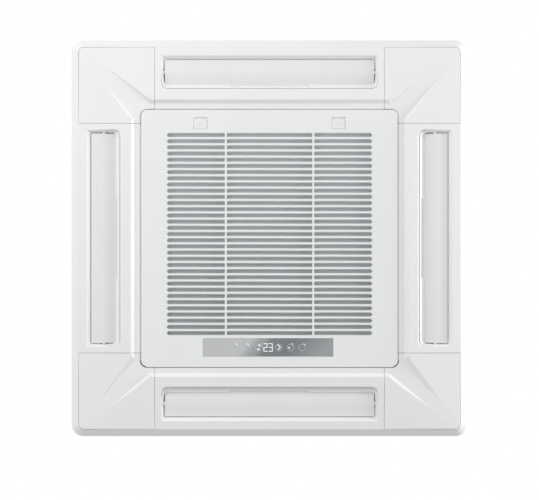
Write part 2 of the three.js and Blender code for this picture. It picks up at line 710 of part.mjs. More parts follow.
function drainPump() {
  const [x, y] = pumpSpot;
  const profile = [
    [0, panTop + GAP + 2],
    [PUMP_RADIUS, panTop + GAP + 2],
    [PUMP_RADIUS, PUMP_TOP - 22],
    [PUMP_RADIUS - 4, PUMP_TOP - 18],
    [PUMP_RADIUS - 4, PUMP_TOP - 5],
    [PUMP_RADIUS - 8, PUMP_TOP],
    [0, PUMP_TOP],
  ];
  const body = placed(turned(profile, 18), 0, x, y);
  const inlet = bar(x, y, troughFloor - 2, panTop + 10, 7, 12);
  const foot = block(
    [x - PUMP_RADIUS / 2, ductInner - 5],
    [y - PUMP_RADIUS, y + PUMP_RADIUS],
    [panTop + GAP, panTop + GAP + 2.5],
  );
  return join([body, inlet, foot]);
}

function floatSwitch() {
  const [x, y] = floatSpot;
  const float = bar(x, y, troughFloor + 6, troughFloor + 22, 10, 14);
  const stem = bar(x, y, troughFloor + 2, panTop + 12, 3, 8);
  const bracket = block([x - 8, ductInner - 5], [y - 8, y + 8], [panTop + GAP, panTop + GAP + 2]);
  return join([float, stem, bracket]);
}

function drainOutlet() {
  const [x, y] = pumpSpot;
  const straight = [-32, -8, DRAIN_OUT].map((beyond) => [
    ...inCorner(cornerFace + beyond, DRAIN_EXIT.across),
    DRAIN_EXIT.z,
  ]);
  const route = [
    [x, y, PUMP_TOP + GAP],
    [x, y, PUMP_TOP + 36],
    [x - 6, y + 24, DRAIN_EXIT.z - 6],
    ...straight,
  ];
  const end = cornerFace + DRAIN_OUT;
  const bore = openEnd(DRAIN_EXIT.across, DRAIN_EXIT.z, end, DRAIN_EXIT.radius - DRAIN_WALL);
  return tube(route, DRAIN_EXIT.radius, 8, 12).subtract(bore);
}

add("drain_pan", drainPan(), foam);
add("drain_pump", drainPump(), black);
add("float_switch", floatSwitch(), white);
add("drain_outlet", drainOutlet(), black);

// ---- Bell mouth, fan and motor ----

// Half a wall's thickness either side of a curve gives the closed profile of a turned shell.
function shellProfile(curve, wall, steps) {
  const points = curve.getPoints(steps);
  const side = (sign) =>
    points.map((point, i) => {
      const tangent = curve.getTangent(i / steps);
      return [point.x - (sign * tangent.y * wall) / 2, point.y + (sign * tangent.x * wall) / 2];
    });
  return [...side(1), ...side(-1).reverse()];
}

// The control box hangs through a window of this plate, between the mouth and the drain pan.
function bellMouth() {
  const low = bellPlateTop - BELL_PLATE;
  const plate = prism(shapeOf(square(bellHalf, GRILLE_CORNER, 4)), low, bellPlateTop);
  const curve = new THREE.CubicBezierCurve(
    new THREE.Vector2(MOUTH_RADIUS, bellPlateTop - BELL_SHEET / 2),
    new THREE.Vector2(THROAT_RADIUS + 8, bellPlateTop + 2),
    new THREE.Vector2(THROAT_RADIUS, BELL_TOP * 0.5),
    new THREE.Vector2(THROAT_RADIUS, BELL_TOP),
  );
  const flare = turned(shellProfile(curve, BELL_SHEET, 5), 28);
  const hole = bar(0, 0, low - 1, bellPlateTop + 1, MOUTH_RADIUS - 1.2, 28);
  const window = block(
    [-BOX_HALF - 1, BOX_HALF + 1],
    [boxInner - 1, boxOuter + 1],
    [low - 1, bellPlateTop + 1],
  );
  return cut(plate, [hole, window]).add(flare);
}

const shroudCurve = new THREE.QuadraticBezierCurve(
  new THREE.Vector2(eyeRadius + FAN_WALL / 2, SHROUD_BOTTOM),
  new THREE.Vector2(eyeRadius + FAN_WALL / 2 + 2, SHROUD_BOTTOM + SHROUD_RISE * 0.8),
  new THREE.Vector2(FAN_RADIUS, SHROUD_BOTTOM + SHROUD_RISE),
);

function fanShroud() {
  return turned(shellProfile(shroudCurve, FAN_WALL, 4), 24);
}

// The plan of one blade: a backward-curved airfoil between two radii.
function bladeOutline(lead) {
  const steps = 4;
  const spine = (t) => {
    const radius = BLADE_ROOT + t * (FAN_RADIUS - 3 - BLADE_ROOT);
    const angle = THREE.MathUtils.degToRad(lead - BLADE_SWEEP * t ** 1.25);
    return new THREE.Vector2(radius * Math.cos(angle), radius * Math.sin(angle));
  };
  const side = (sign) =>
    Array.from({ length: steps + 1 }, (_, i) => {
      const t = i / steps;
      const tangent = spine(Math.min(t + 0.01, 1)).sub(spine(Math.max(t - 0.01, 0))).normalize();
      const half = 1.2 + 5.5 * Math.sqrt(t) * (1 - t);
      const point = spine(t);
      return [point.x - sign * tangent.y * half, point.y + sign * tangent.x * half];
    });
  return [...side(-1), ...side(1).reverse()];
}

function fanWheel() {
  const bore = SHAFT_RADIUS + GAP;
  const backPlate = turned(
    [
      [bore, hubTop],
      [hubWall - 8, hubTop],
      [hubWall, hubTop + 8],
      [hubWall + 10, FAN_TOP - 12],
      [hubWall + 22, FAN_TOP - 3],
      [FAN_RADIUS, FAN_TOP],
      [FAN_RADIUS, FAN_TOP - FAN_WALL],
      [hubWall + 24, FAN_TOP - 3 - FAN_WALL],
      [hubWall + 13.5, FAN_TOP - 14],
      [hubWall + 3, hubTop + 5],
      [hubWall - 6, hubTop - FAN_WALL],
      [18, hubTop - FAN_WALL - 1],
      [15, bossBottom],
      [bore, bossBottom],
    ],
    24,
  );
  const bladeFoot = SHROUD_BOTTOM + 2;
  const blade = loft([
    { outline: bladeOutline(0), z: bladeFoot },
    { outline: bladeOutline(9), z: FAN_TOP - FAN_WALL / 2 },
  ]);
  const foot = BELL_TOP + 6;
  const onShroud = shellProfile(shroudCurve, FAN_WALL + 4 * GAP, 4).slice(0, 5).filter(([, z]) => z > foot);
  const keepOut = turned(
    [
      [eyeRadius - 1, foot],
      ...onShroud,
      [FAN_RADIUS + 10, SHROUD_BOTTOM + SHROUD_RISE],
      [FAN_RADIUS + 10, SHROUD_BOTTOM - 10],
      [BLADE_ROOT - 40, SHROUD_BOTTOM - 10],
      [BLADE_ROOT - 40, foot],
    ],
    24,
  );
  const trimmed = blade.subtract(keepOut);
  const blades = Array.from({ length: BLADES }, (_, i) => placed(trimmed, (360 / BLADES) * i));
  return join([backPlate, ...blades]);
}

function fanMotor() {
  const bore = SHAFT_RADIUS + GAP;
  const top = cabinetTop - 10;
  return turned(
    [
      [bore, MOTOR_BOTTOM],
      [22, MOTOR_BOTTOM],
      [24, MOTOR_BOTTOM + 4],
      [MOTOR_RADIUS - 10, MOTOR_BOTTOM + 6],
      [MOTOR_RADIUS, MOTOR_BOTTOM + 14],
      [MOTOR_RADIUS, top - 14],
      [MOTOR_RADIUS + 6, top - 12],
      [MOTOR_RADIUS + 6, top - 8],
      [MOTOR_RADIUS - 6, top - 6],
      [MOTOR_RADIUS - 14, top],
      [0, top],
      [0, top - 20],
      [bore, top - 20],
    ],
    20,
  );
}

// A ring with four arms; a rubber pad on each arm meets the top plate.
function motorBracket() {
  const low = cabinetTop - 10 + GAP;
  const ring = turned([[30, low], [MOTOR_RADIUS + 4, low], [MOTOR_RADIUS + 4, low + 2], [30, low + 2]], 20);
  const armPlan = rounded([MOTOR_RADIUS - 6, MOTOR_RADIUS + 34], [-13, 13], [12, 1, 1, 12], 2);
  const arms = onFourSides(prism(shapeOf(armPlan), low, low + 2));
  const pads = onFourSides(bar(MOTOR_RADIUS + 20, 0, low + 1, cabinetTop, 9, 8));
  return join([ring, ...arms, ...pads]);
}

function motorShaft() {
  return bar(0, 0, bossBottom - 16, cabinetTop - 31, SHAFT_RADIUS, 20);
}

function fanNut() {
  const body = bar(0, 0, bossBottom - 10.3, bossBottom - GAP, 11, 6);
  const washer = bar(0, 0, bossBottom - 2.3, bossBottom - GAP, 14, 18);
  return join([body, washer]).subtract(bar(0, 0, bossBottom - 20, bossBottom + 5, SHAFT_RADIUS + GAP, 16));
}

add("bell_mouth", bellMouth(), white);
add("fan_motor", fanMotor(), motorSteel);
add("motor_bracket", motorBracket(), zinc);
add("motor_shaft", motorShaft(), motorSteel);
add("fan_wheel", fanWheel(), fanPlastic);
add("fan_shroud", fanShroud(), fanPlastic);
add("fan_nut", fanNut(), zinc);

// ---- Control box ----

function controlBox() {
  const outer = block([-BOX_HALF, BOX_HALF], [boxInner, boxOuter], [flangeTop - SHEET, BOX_TOP]);
  const hollow = block(
    [-BOX_HALF + SHEET, BOX_HALF - SHEET],
    [boxInner + SHEET, boxOuter - SHEET],
    [flangeTop - 10, BOX_TOP - SHEET],
  );
  const flange = block(
    [-BOX_HALF - BOX_FLANGE, BOX_HALF + BOX_FLANGE],
    [boxInner - BOX_FLANGE, boxOuter + BOX_FLANGE],
    [flangeTop - SHEET, flangeTop],
  );
  return outer.add(flange).subtract(hollow);
}

function controlBoxCover() {
  const top = flangeTop - SHEET - GAP;
  const length = [-BOX_HALF - BOX_FLANGE, BOX_HALF + BOX_FLANGE];
  const plan = rounded(length, [boxInner - BOX_FLANGE, boxOuter + BOX_FLANGE], 3, 2);
  const lid = prism(shapeOf(plan), top - SHEET, top);
  const raised = rounded([-BOX_HALF + 12, BOX_HALF - 12], [boxInner + 8, boxOuter - 8], 5, 2);
  const panel = loft([
    { outline: raised, z: top - SHEET / 2 },
    { outline: spread(raised, -2), z: top - SHEET - 2 },
  ]);
  return lid.add(panel);
}

function controlBoard() {
  const y = [boxInner + 6, boxOuter - 6];
  const low = BOX_TOP - SHEET - 12;
  const board = block([BOARD_START, BOX_HALF - 8], y, [low, low + BOARD]);
  const studs = [BOARD_START + 8, BOX_HALF - 16].flatMap((x) =>
    y.map((edge, i) => bar(x, edge + (i ? -5 : 5), low, BOX_TOP - SHEET - GAP, 2.5, 6)),
  );
  const from = (distance) => BOARD_START + distance;
  const transformer = block([from(12), from(46)], [y[0] + 4, y[1] - 4], [low - 20, low + 0.5]);
  const capacitors = [66, 86, 106].map((x) => bar(from(x), (y[0] + y[1]) / 2, low - 18, low + 0.5, 7, 8));
  const relays = [136, 162, 188].map((x) =>
    block([from(x), from(x + 18)], [y[0] + 8, y[0] + 22], [low - 14, low + 0.5]),
  );
  return join([board, ...studs, transformer, ...capacitors, ...relays]);
}

function terminalBlock() {
  const x = [-BOX_HALF + 6, TERMINAL_END];
  const y = [boxInner + 8, boxOuter - 8];
  const top = BOX_TOP - SHEET - GAP;
  const base = block(x, y, [top - 12, top]);
  const pitch = (y[1] - y[0] - 2) / 4;
  const walls = [0, 1, 2, 3, 4].map((i) => {
    const start = y[0] + i * pitch;
    return block([x[0] + 8, x[1] - 8], [start, start + 2], [top - 20, top - 11]);
  });
  return join([base, ...walls]);
}

add("control_box", controlBox(), zinc);
add("control_box_cover", controlBoxCover(), zinc);
add("control_board", controlBoard(), circuit);
add("terminal_block", terminalBlock(), black);

// ---- Panel ----

// The panel's front as one solid: sloped margin, gently falling face, recess round the grille, and a valley
// that runs from each corner of the recess into the corner of the panel.
function panelFront() {
  const body = loft([
    { outline: square(panelHalf, PANEL_CORNER), z: 0 },
    { outline: square(panelHalf, PANEL_CORNER), z: -PANEL_LIP },
    { outline: square(panelHalf - 3, PANEL_CORNER - 3), z: -PANEL_LIP - 3.4 },
    { outline: square(faceHalf, 13), z: -FACE_EDGE },
    { outline: square(stepHalf, 90), z: -FACE_STEP },
  ]);
  const below = FACE_STEP + 13;
  const floor = octagon(recessHalf, STEP_CUT);
  const recess = loft([
    { outline: floor, z: -RECESS },
    { outline: spread(floor, below - RECESS), z: -below },
  ]);
  const near = recessHalf - STEP_CUT;
  const slope = (FACE_STEP - FACE_EDGE) / (faceHalf - stepHalf);
  const endDepth = FACE_EDGE + slope * (faceHalf - VALLEY_END);
  const low = [
    [recessHalf, near],
    [VALLEY_END + VALLEY_HALF * 0.7, VALLEY_END - VALLEY_HALF * 0.7],
    [VALLEY_END - VALLEY_HALF * 0.7, VALLEY_END + VALLEY_HALF * 0.7],
    [near, recessHalf],
  ];
  const wide = spread(low, below - RECESS);
  const depths = [RECESS, endDepth, endDepth, RECESS];
  const floorPoints = low.map(([x, y], i) => new THREE.Vector3(x, y, -depths[i]));
  const widePoints = wide.map(([x, y]) => new THREE.Vector3(x, y, -below));
  const valley = solid(new ConvexGeometry([...floorPoints, ...widePoints]));
  return cut(body, [recess, ...onFourSides(valley)]);
}

const front = panelFront();
const lifted = (height) => placed(front, 0, 0, 0, height);

// One outlet on the +X side, from the cabinet's duct to the flared mouth in the face; a positive wall gives
// the moulding round it.
function outlet(wall) {
  const mouthDepth = FACE_EDGE + 3;
  const throatOuter = outletOuter - 14;
  const level = (depth) => {
    const flare = (depth - THROAT_DEPTH) / (mouthDepth - THROAT_DEPTH);
    const inner = ductInner + flare * (outletInner - ductInner) - wall;
    const outer = throatOuter + flare * (outletOuter - throatOuter) + wall;
    const half = DUCT_HALF + 1 + flare * (OUTLET_END - 1) + wall;
    const radii = [2, 7 + 6 * flare, 7 + 6 * flare, 2];
    return { outline: rounded([inner, outer], [-half, half], radii, 2), z: -depth };
  };
  const ductEnd = DUCT_HALF + wall;
  const upper = rounded([ductInner - wall, ductOuter + wall], [-ductEnd, ductEnd], [2, 6, 6, 2], 2);
  const top = { outline: upper, z: UPSTAND + (wall ? 0 : 5) };
  return loft([top, level(THROAT_DEPTH), level(wall ? RECESS : mouthDepth + 14)]);
}

// The recess in the outlet's inner wall that leaves room for the louvre's tongue.
function tongueRelief() {
  const inner = pivot - BLADE_WIDTH / 2 - TONGUE_REACH - 2;
  return block([inner, ductInner + 5], [-TONGUE_HALF - 3, TONGUE_HALF + 3], [-FACE_EDGE + 2, UPSTAND - 4]);
}

function coverPocket(inset) {
  const span = [coverStart + inset, faceHalf - inset];
  const plan = rounded(span, span, [13 - inset, 1, 1, 1], 4);
  const opening = square(openingHalf + inset, GRILLE_CORNER + GRILLE_GAP + inset);
  return prism(shapeOf(plan), -60, 20).subtract(prism(shapeOf(opening), -61, 21));
}

// The space for a bush or a louvre motor behind each end of an outlet, open through any wall that comes near.
function seatBay(end) {
  const side = STEPPER_RADIUS + STEPPER_EAR + GAP;
  const run = [end * wallBack, end * (wallBack + STEPPER_LENGTH + GAP)].sort((a, b) => a - b);
  const middle = STEPPER_OFFSET - PIVOT_DEPTH;
  const rise = STEPPER_RADIUS + GAP;
  return block([pivot - side, pivot + side], run, [middle - rise, middle + rise]);
}

function panelFrame() {
  const inside = prism(shapeOf(square(panelHalf - 3.5, PANEL_CORNER - 3.5)), -60, 20);
  const cornerSpan = [coverStart - SKIN, faceHalf + SKIN];
  const cornerZone = onFourSides(block(cornerSpan, cornerSpan, [-60, 20]));
  const mainHollow = cut(lifted(SKIN).intersect(inside), cornerZone);
  const cornerFloor = lifted(SKIN + GAP + POCKET_FLOOR).intersect(inside);
  const cornerHollow = cornerZone.map((zone) => cornerFloor.intersect(zone));
  const skin = cut(front, [mainHollow, ...cornerHollow]);

  const ring = octagon(cabinetHalf, CABINET_CUT);
  const outside = spread(ring, -UPSTAND_INSET);
  const upstand = prism(shapeOf(outside, spread(outside, -UPSTAND_WALL)), -FACE_STEP, UPSTAND);
  const openingPlan = square(openingHalf, GRILLE_CORNER + GRILLE_GAP);
  const openingWall = prism(shapeOf(spread(openingPlan, SKIN), openingPlan), -RECESS, UPSTAND);
  const shelfZ = [grilleBack + SHELF_RISE, grilleBack + SHELF_RISE + SKIN];
  const shelf = prism(shapeOf(spread(openingPlan, 1), square(shelfHalf, SHELF_CORNER, 1)), ...shelfZ);
  const bosses = onFourSides(bar(BOLT_PLACE, BOLT_PLACE, -RECESS, UPSTAND, 10, 8));
  const ribs = [-0.5, 0.5].flatMap((share) => {
    const y = [share * DUCT_HALF - 1, share * DUCT_HALF + 1];
    return onFourSides(block([outletOuter - 12, panelHalf - 2], y, [-FACE_STEP, -2]));
  });
  const walls = onFourSides(outlet(SKIN));
  const envelope = lifted(SKIN / 2).add(prism(shapeOf(outside), -1, UPSTAND + 1));
  const adds = join([upstand, openingWall, ...bosses, ...ribs, ...walls]).intersect(envelope);

  const pockets = onFourSides(coverPocket(0)).map((pocket) => pocket.subtract(lifted(SKIN + GAP)));
  const inlet = [
    prism(shapeOf(openingPlan), -60, shelfZ[0]),
    prism(shapeOf(square(shelfHalf, SHELF_CORNER, 1)), -60, 40),
  ];
  const boltHead = bar(BOLT_PLACE, BOLT_PLACE, -60, -BOLT_SEAT, 6.8, 8);
  const boltHoles = onFourSides(bar(BOLT_PLACE, BOLT_PLACE, -60, 40, BOLT_HOLE, 8).add(boltHead));
  const bushHoles = onFourSides(barAlongY(pivot, -PIVOT_DEPTH, -endWall - 6, -endWall + 6, bushHole, 10));
  const noseHoles = onFourSides(barAlongY(pivot, -PIVOT_DEPTH, endWall - 6, endWall + 6, bushHole, 10));
  const outlets = [...onFourSides(outlet(0)), ...onFourSides(tongueRelief())];
  const bays = [-1, 1].flatMap((end) => onFourSides(seatBay(end)));
  const cuts = [...pockets, ...outlets, ...boltHoles, ...bushHoles, ...noseHoles, ...bays];
  const body = cut(cut(skin.add(adds), cuts).add(shelf), inlet);
  return join([body, ...hingeArms(shelfZ[0])]);
}

// Two pairs of arms hang from the shelf and hold the pins that the grille turns on.
function hingeArms(shelfBottom) {
  const cheek = HINGE_PIN - 0.5;
  return [-HINGE_PLACE, HINGE_PLACE].flatMap((x) => {
    const half = HINGE_LENGTH / 2;
    const cheeks = [[x - half - 3, x - half], [x + half, x + half + 3]].map((span) =>
      block(span, [hingeY - HINGE_PIN, hingeY + cheek], [-HINGE_DEPTH - cheek, shelfBottom + 1]),
    );
    return [...cheeks, roundAlongX(x - half - 1, x + half + 1, hingeY, -HINGE_DEPTH, HINGE_PIN, 10)];
  });
}

// A cover is the panel's own front over the corner, one wall thick, with a seam all round.
function cornerCover() {
  return front.subtract(lifted(SKIN)).intersect(coverPocket(SEAM));
}

function panelBolt() {
  const head = bar(BOLT_PLACE, BOLT_PLACE, -12, -BOLT_SEAT - GAP, 6.2, 10);
  const shank = bar(BOLT_PLACE, BOLT_PLACE, -7, CABINET_BOTTOM + 14, 2.9, 8);
  const drive = bar(BOLT_PLACE, BOLT_PLACE, -14, -10, 2.8, 6);
  return head.add(shank).subtract(drive);
}

function panelGasket() {
  const ring = octagon(cabinetHalf, CABINET_CUT);
  const outside = spread(ring, -UPSTAND_INSET - 0.4);
  return prism(shapeOf(outside, spread(outside, 0.8 - UPSTAND_WALL)), UPSTAND + GAP, gasketTop);
}

add("panel_frame", panelFrame(), white);
const cover = cornerCover();
const bolt = panelBolt();
for (let k = 0; k < 4; k += 1) {
  add(`corner_cover_${k + 1}`, placed(cover, 90 * k), white);
  add(`panel_bolt_${k + 1}`, placed(bolt, 90 * k), zinc);
}
add("panel_gasket", panelGasket(), black);

// ---- Louvres, each with a bush at one end and a geared motor at the other ----

// The blade's crowned section, drawn across X and Z and run along Y.
function louvre() {
  const half = BLADE_WIDTH / 2;
  const steps = 6;
  const depth = (share) => -BLADE_DEPTH + BLADE_SAG * share * share;
  const lower = Array.from({ length: steps + 1 }, (_, i) => {
    const share = (2 * i) / steps - 1;
    return [pivot + half * share, depth(share)];
  });
  const edgeWall = 0.6 * BLADE_WALL;
  const upper = lower.map(([x, z], i) => [x, z + (i === 0 || i === steps ? edgeWall : BLADE_WALL)]).reverse();
  const extrusion = { depth: 2 * bladeHalf, bevelEnabled: false };
  const section = new THREE.ExtrudeGeometry(shapeOf([...lower, ...upper]), extrusion);
  section.rotateX(Math.PI / 2);
  section.translate(0, bladeHalf, 0);
  const edge = pivot - half;
  const tongueTop = -BLADE_DEPTH + BLADE_SAG + edgeWall;
  const tongue = prism(
    shapeOf([
      [edge + 3, -TONGUE_HALF - 2],
      [edge + 3, TONGUE_HALF + 2],
      [edge, TONGUE_HALF],
      [edge - TONGUE_REACH, TONGUE_HALF - 8],
      [edge - TONGUE_REACH, -TONGUE_HALF + 8],
      [edge, -TONGUE_HALF],
    ]),
    tongueTop - edgeWall,
    tongueTop,
  );
  const spine = [-bladeHalf + 10, bladeHalf - 10];
  const stiffener = block([pivot - 1, pivot + 1], spine, [-BLADE_DEPTH + 1, -PIVOT_DEPTH]);
  const hubs = [-1, 1].map((end) => {
    const y = [end * bladeHalf, end * (bladeHalf - 14)].sort((a, b) => a - b);
    return barAlongY(pivot, -PIVOT_DEPTH, ...y, HUB_RADIUS, 10);
  });
  const pin = barAlongY(pivot, -PIVOT_DEPTH, -wallBack - 1, -bladeHalf + 4, PIN_RADIUS, 10);
  const socket = barAlongY(pivot, -PIVOT_DEPTH, bladeHalf - 8, bladeHalf + 1, SHAFT_SMALL + GAP, 8);
  return join([solid(section), tongue, stiffener, ...hubs, pin]).subtract(socket);
}

function louvreBush() {
  const sleeve = barAlongY(pivot, -PIVOT_DEPTH, -wallBack - 1, -DUCT_HALF - 0.5, bushHole - GAP, 10);
  const flange = barAlongY(pivot, -PIVOT_DEPTH, -wallBack - 2, -wallBack, bushHole + 0.8, 10);
  const bore = barAlongY(pivot, -PIVOT_DEPTH, -wallBack - 9, -DUCT_HALF + 3, PIN_RADIUS + GAP, 10);
  return sleeve.add(flange).subtract(bore);
}

function louvreMotor() {
  const start = wallBack;
  const middle = STEPPER_OFFSET - PIVOT_DEPTH;
  const can = barAlongY(pivot, middle, start, start + STEPPER_LENGTH, STEPPER_RADIUS, 12);
  const nose = barAlongY(pivot, -PIVOT_DEPTH, DUCT_HALF - 0.5, start + 1, bushHole - GAP, 10);
  const shaft = barAlongY(pivot, -PIVOT_DEPTH, bladeHalf - 7, start + 1, SHAFT_SMALL, 8);
  const ear = STEPPER_RADIUS + STEPPER_EAR;
  const earRise = [2 - PIVOT_DEPTH, 8 - PIVOT_DEPTH];
  const flange = block([pivot - ear, pivot + ear], [start, start + 1.2], earRise);
  return join([can, nose, shaft, flange]);
}

const louvreBody = louvre();
const bushBody = louvreBush();
const motorBody = louvreMotor();
for (let k = 0; k < 4; k += 1) {
  add(`louvre_${k + 1}`, placed(louvreBody, 90 * k), louvreWhite);
  add(`louvre_bush_${k + 1}`, placed(bushBody, 90 * k), black);
  add(`louvre_motor_${k + 1}`, placed(motorBody, 90 * k), motorSteel);
}

// ---- Inlet grille with its filter, latches and display ----

// One slot's cutter: square beside a cross rib, tapered where it ends in the border, leaning with the slats.
function slotCutter(x0, x1, y, taperLeft, taperRight) {
  const radius = SLOT_HEIGHT / 2 - 0.2;
  const plan = rounded(
    [x0, x1],
    [y, y + SLOT_HEIGHT],
    [taperRight, taperLeft, taperLeft, taperRight].map((taper) => (taper ? radius : 0.4)),
    1,
  );
  const apart = (a, b) => Math.hypot(a[0] - b[0], a[1] - b[1]) > 1;
  const shape = shapeOf(plan.filter((point, i) => apart(point, plan[(i + 1) % plan.length])));
  const deep = SLAT_DEPTH + 4;
  const geometry = new THREE.ExtrudeGeometry(shape, { depth: deep, bevelEnabled: false });
  const lean = SLAT_LEAN / SLAT_DEPTH;
  geometry.applyMatrix4(new THREE.Matrix4().makeShear(0, 0, 0, 0, 0, lean));
  geometry.translate(0, 0, -GRILLE_FACE);
  return geometry;
}

function inletGrille() {
  const face = -GRILLE_FACE;
  const plan = square(grilleHalf, GRILLE_CORNER);
  const plate = loft([
    { outline: spread(plan, -1.5), z: face },
    { outline: plan, z: face + 1.5 },
    { outline: plan, z: face + GRILLE_PLATE },
  ]);
  const back = grilleBack;
  const skirt = prism(shapeOf(plan, spread(plan, -SKIN)), face + 2, back);
  const fieldX = [slotLeft - FIELD_EDGE, -slotLeft + FIELD_EDGE];
  const fieldY = [slotLow - FIELD_EDGE, slotHigh + FIELD_EDGE];
  const field = block(fieldX, fieldY, [face + 1, face + SLAT_DEPTH]);
  const seatOuter = rounded([-filterHalf - 3, filterHalf + 3], [filterLow - 3, filterHigh + 3], 4, 2);
  const seatInner = rounded(fieldX, fieldY, 1, 1);
  const seat = prism(shapeOf(seatOuter, seatInner), face + 2, back);
  const trayX = [-filterHalf - GAP, filterHalf + GAP];
  const trayPlan = rounded(trayX, [filterLow - GAP, filterHigh + GAP], 2, 2);
  const tray = prism(shapeOf(trayPlan), back - FILTER_SEAT, back + 5);
  const brace = (x, y) => block([x - 1, x + 1], y, [face + 2, back - 1]);
  const braces = [-1, 1].flatMap((side) => [
    brace(side * BRACE_FRONT, [-grilleHalf + 1, filterLow]),
    brace(side * BRACE_REAR, [filterHigh + 1, grilleHalf - 1]),
  ]);
  const whole = join([plate, skirt, field, seat, ...braces]);
  const columns = [slotLeft, -CROSS_RIB_PLACE, CROSS_RIB_PLACE, -slotLeft];
  const slots = Array.from({ length: slotCount }, (_, row) => slotLow + row * SLOT_PITCH).flatMap((y) =>
    [0, 1, 2].map((i) =>
      slotCutter(
        columns[i] + (i > 0 ? CROSS_RIB / 2 : 0),
        columns[i + 1] - (i < 2 ? CROSS_RIB / 2 : 0),
        y,
        i === 0,
        i === 2,
      ),
    ),
  );
  const pockets = [-LATCH_PLACE, LATCH_PLACE].flatMap((x) => [
    block(
      [x - latchPocket.x, x + latchPocket.x],
      [latchPocket.low, latchPocket.high],
      [face - 5, face + LATCH_FLOOR],
    ),
    block(
      [x - STEM.x - GAP, x + STEM.x + GAP],
      [latchY - STEM.y - LATCH_TRAVEL - GAP, latchY + STEM.y + GAP],
      [face, back + 1],
    ),
  ]);
  const windowPocket = block(
    [DISPLAY_SHIFT - DISPLAY_LENGTH / 2 - GAP, DISPLAY_SHIFT + DISPLAY_LENGTH / 2 + GAP],
    [displayY - DISPLAY_WIDTH / 2 - GAP, displayY + DISPLAY_WIDTH / 2 + GAP],
    [face - 5, face + DISPLAY_DEPTH + 2 * GAP],
  );
  const boardHole = block(
    [-LED_HALF[0] - 2, LED_HALF[0] + 2],
    [displayY - LED_HALF[1] - 2, displayY + LED_HALF[1] + 2],
    [face, face + GRILLE_PLATE + 1],
  );
  const notchHalf = HINGE_LENGTH / 2 + 5;
  const notches = [-HINGE_PLACE, HINGE_PLACE].map((x) =>
    block([x - notchHalf, x + notchHalf], [hingeY - 7, grilleHalf + 2], [hingeFloor, back + 1]),
  );
  const slotted = slots.reduce((rest, geometry) => rest.subtract(solid(geometry)), whole);
  const notched = cut(slotted, [tray, ...pockets, windowPocket, boardHole, ...notches]);
  const alongHinge = (inset, radius) =>
    [-HINGE_PLACE, HINGE_PLACE].map((x) => {
      const half = HINGE_LENGTH / 2 - inset;
      return roundAlongX(x - half, x + half, hingeY, -HINGE_DEPTH, radius, 10);
    });
  const sleeves = alongHinge(2 * GAP, HINGE_PIN + GAP + HINGE_SLEEVE);
  return cut(join([notched, ...sleeves]), alongHinge(0, HINGE_PIN + GAP));
}

function airFilter() {
  const low = grilleBack - FILTER_SEAT + GAP;
  const top = low + FILTER_DEPTH;
  const outline = rounded([-filterHalf, filterHalf], [filterLow, filterHigh], 2, 2);
  const mesh = prism(shapeOf(outline), low, low + 1.2);
  const inner = rounded([-filterHalf + 8, filterHalf - 8], [filterLow + 8, filterHigh - 8], 2, 2);
  const frame = prism(shapeOf(outline, inner), low, top);
  const width = filterHigh - filterLow;
  const uprights = [-0.5, -0.25, 0, 0.25, 0.5].slice(1, 4).map((share) => {
    const x = share * 2 * filterHalf;
    return block([x - 1.5, x + 1.5], [filterLow + 2, filterHigh - 2], [low, top - 2]);
  });
  const rails = [1, 2, 3].map((i) => {
    const y = filterLow + (i * width) / 4;
    return block([-filterHalf + 2, filterHalf - 2], [y - 1.5, y + 1.5], [low, top - 3]);
  });
  return join([mesh, frame, ...uprights, ...rails]);
}

// The button's cap lies in the pocket; its stem passes the slot and a wider head keeps it there.
function latchButton(x) {
  const face = -GRILLE_FACE;
  const floorTop = face + GRILLE_PLATE;
  const half = [LATCH_WIDTH / 2, LATCH_LENGTH / 2];
  const plan = rounded([x - half[0], x + half[0]], [latchY - half[1], latchY + half[1]], 2, 2);
  const cap = loft([
    { outline: spread(plan, -0.6), z: face + 1 },
    { outline: plan, z: face + 1.6 },
    { outline: plan, z: face + LATCH_FLOOR - GAP },
  ]);
  const stem = block([x - STEM.x, x + STEM.x], [latchY - STEM.y, latchY + STEM.y], [face + 2, floorTop + 2]);
  const head = block(
    [x - STEM.x - 4, x + STEM.x + 4],
    [latchY - STEM.y - 4, latchY + STEM.y + 4],
    [floorTop + GAP, floorTop + 3],
  );
  const grips = [-1, 0, 1].map((i) => {
    const y = latchY + i * 4;
    return block([x - 9, x + 9], [y - 0.6, y + 0.6], [face + 0.4, face + 1.5]);
  });
  return join([cap, stem, head, ...grips]);
}

function displayWindow() {
  const half = [DISPLAY_LENGTH / 2, DISPLAY_WIDTH / 2];
  const plan = rounded(
    [DISPLAY_SHIFT - half[0], DISPLAY_SHIFT + half[0]],
    [displayY - half[1], displayY + half[1]],
    1.5,
    2,
  );
  const face = -GRILLE_FACE + GAP;
  return prism(shapeOf(plan), face, face + DISPLAY_DEPTH);
}

function displayBoard() {
  const seat = -GRILLE_FACE + GRILLE_PLATE + GAP;
  const centred = ([x, y], z) => block([-x, x], [displayY - y, displayY + y], z);
  const board = centred(BOARD_HALF, [seat, seat + BOARD]);
  const ledFace = -GRILLE_FACE + GAP + DISPLAY_DEPTH + GAP;
  const led = centred(LED_HALF, [ledFace, seat + 0.5]);
  const socket = block([30, 48], [displayY - 6, displayY + 6], [seat + 1, seat + 7]);
  return join([board, led, socket]);
}

add("inlet_grille", inletGrille(), white);
add("air_filter", airFilter(), gauze);
add("latch_button_left", latchButton(-LATCH_PLACE), white);
add("latch_button_right", latchButton(LATCH_PLACE), white);
add("display_window", displayWindow(), mirrorSilver);
add("display_board", displayBoard(), circuit);

export default unit;
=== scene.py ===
# A four-way ceiling cassette air conditioner, seen straight on from below: a white panel with four louvres
# and a slotted inlet grille, under a sheet-metal cabinet that hangs above the ceiling.

import json
import math

import bmesh
import bpy
from mathutils import Matrix, Vector


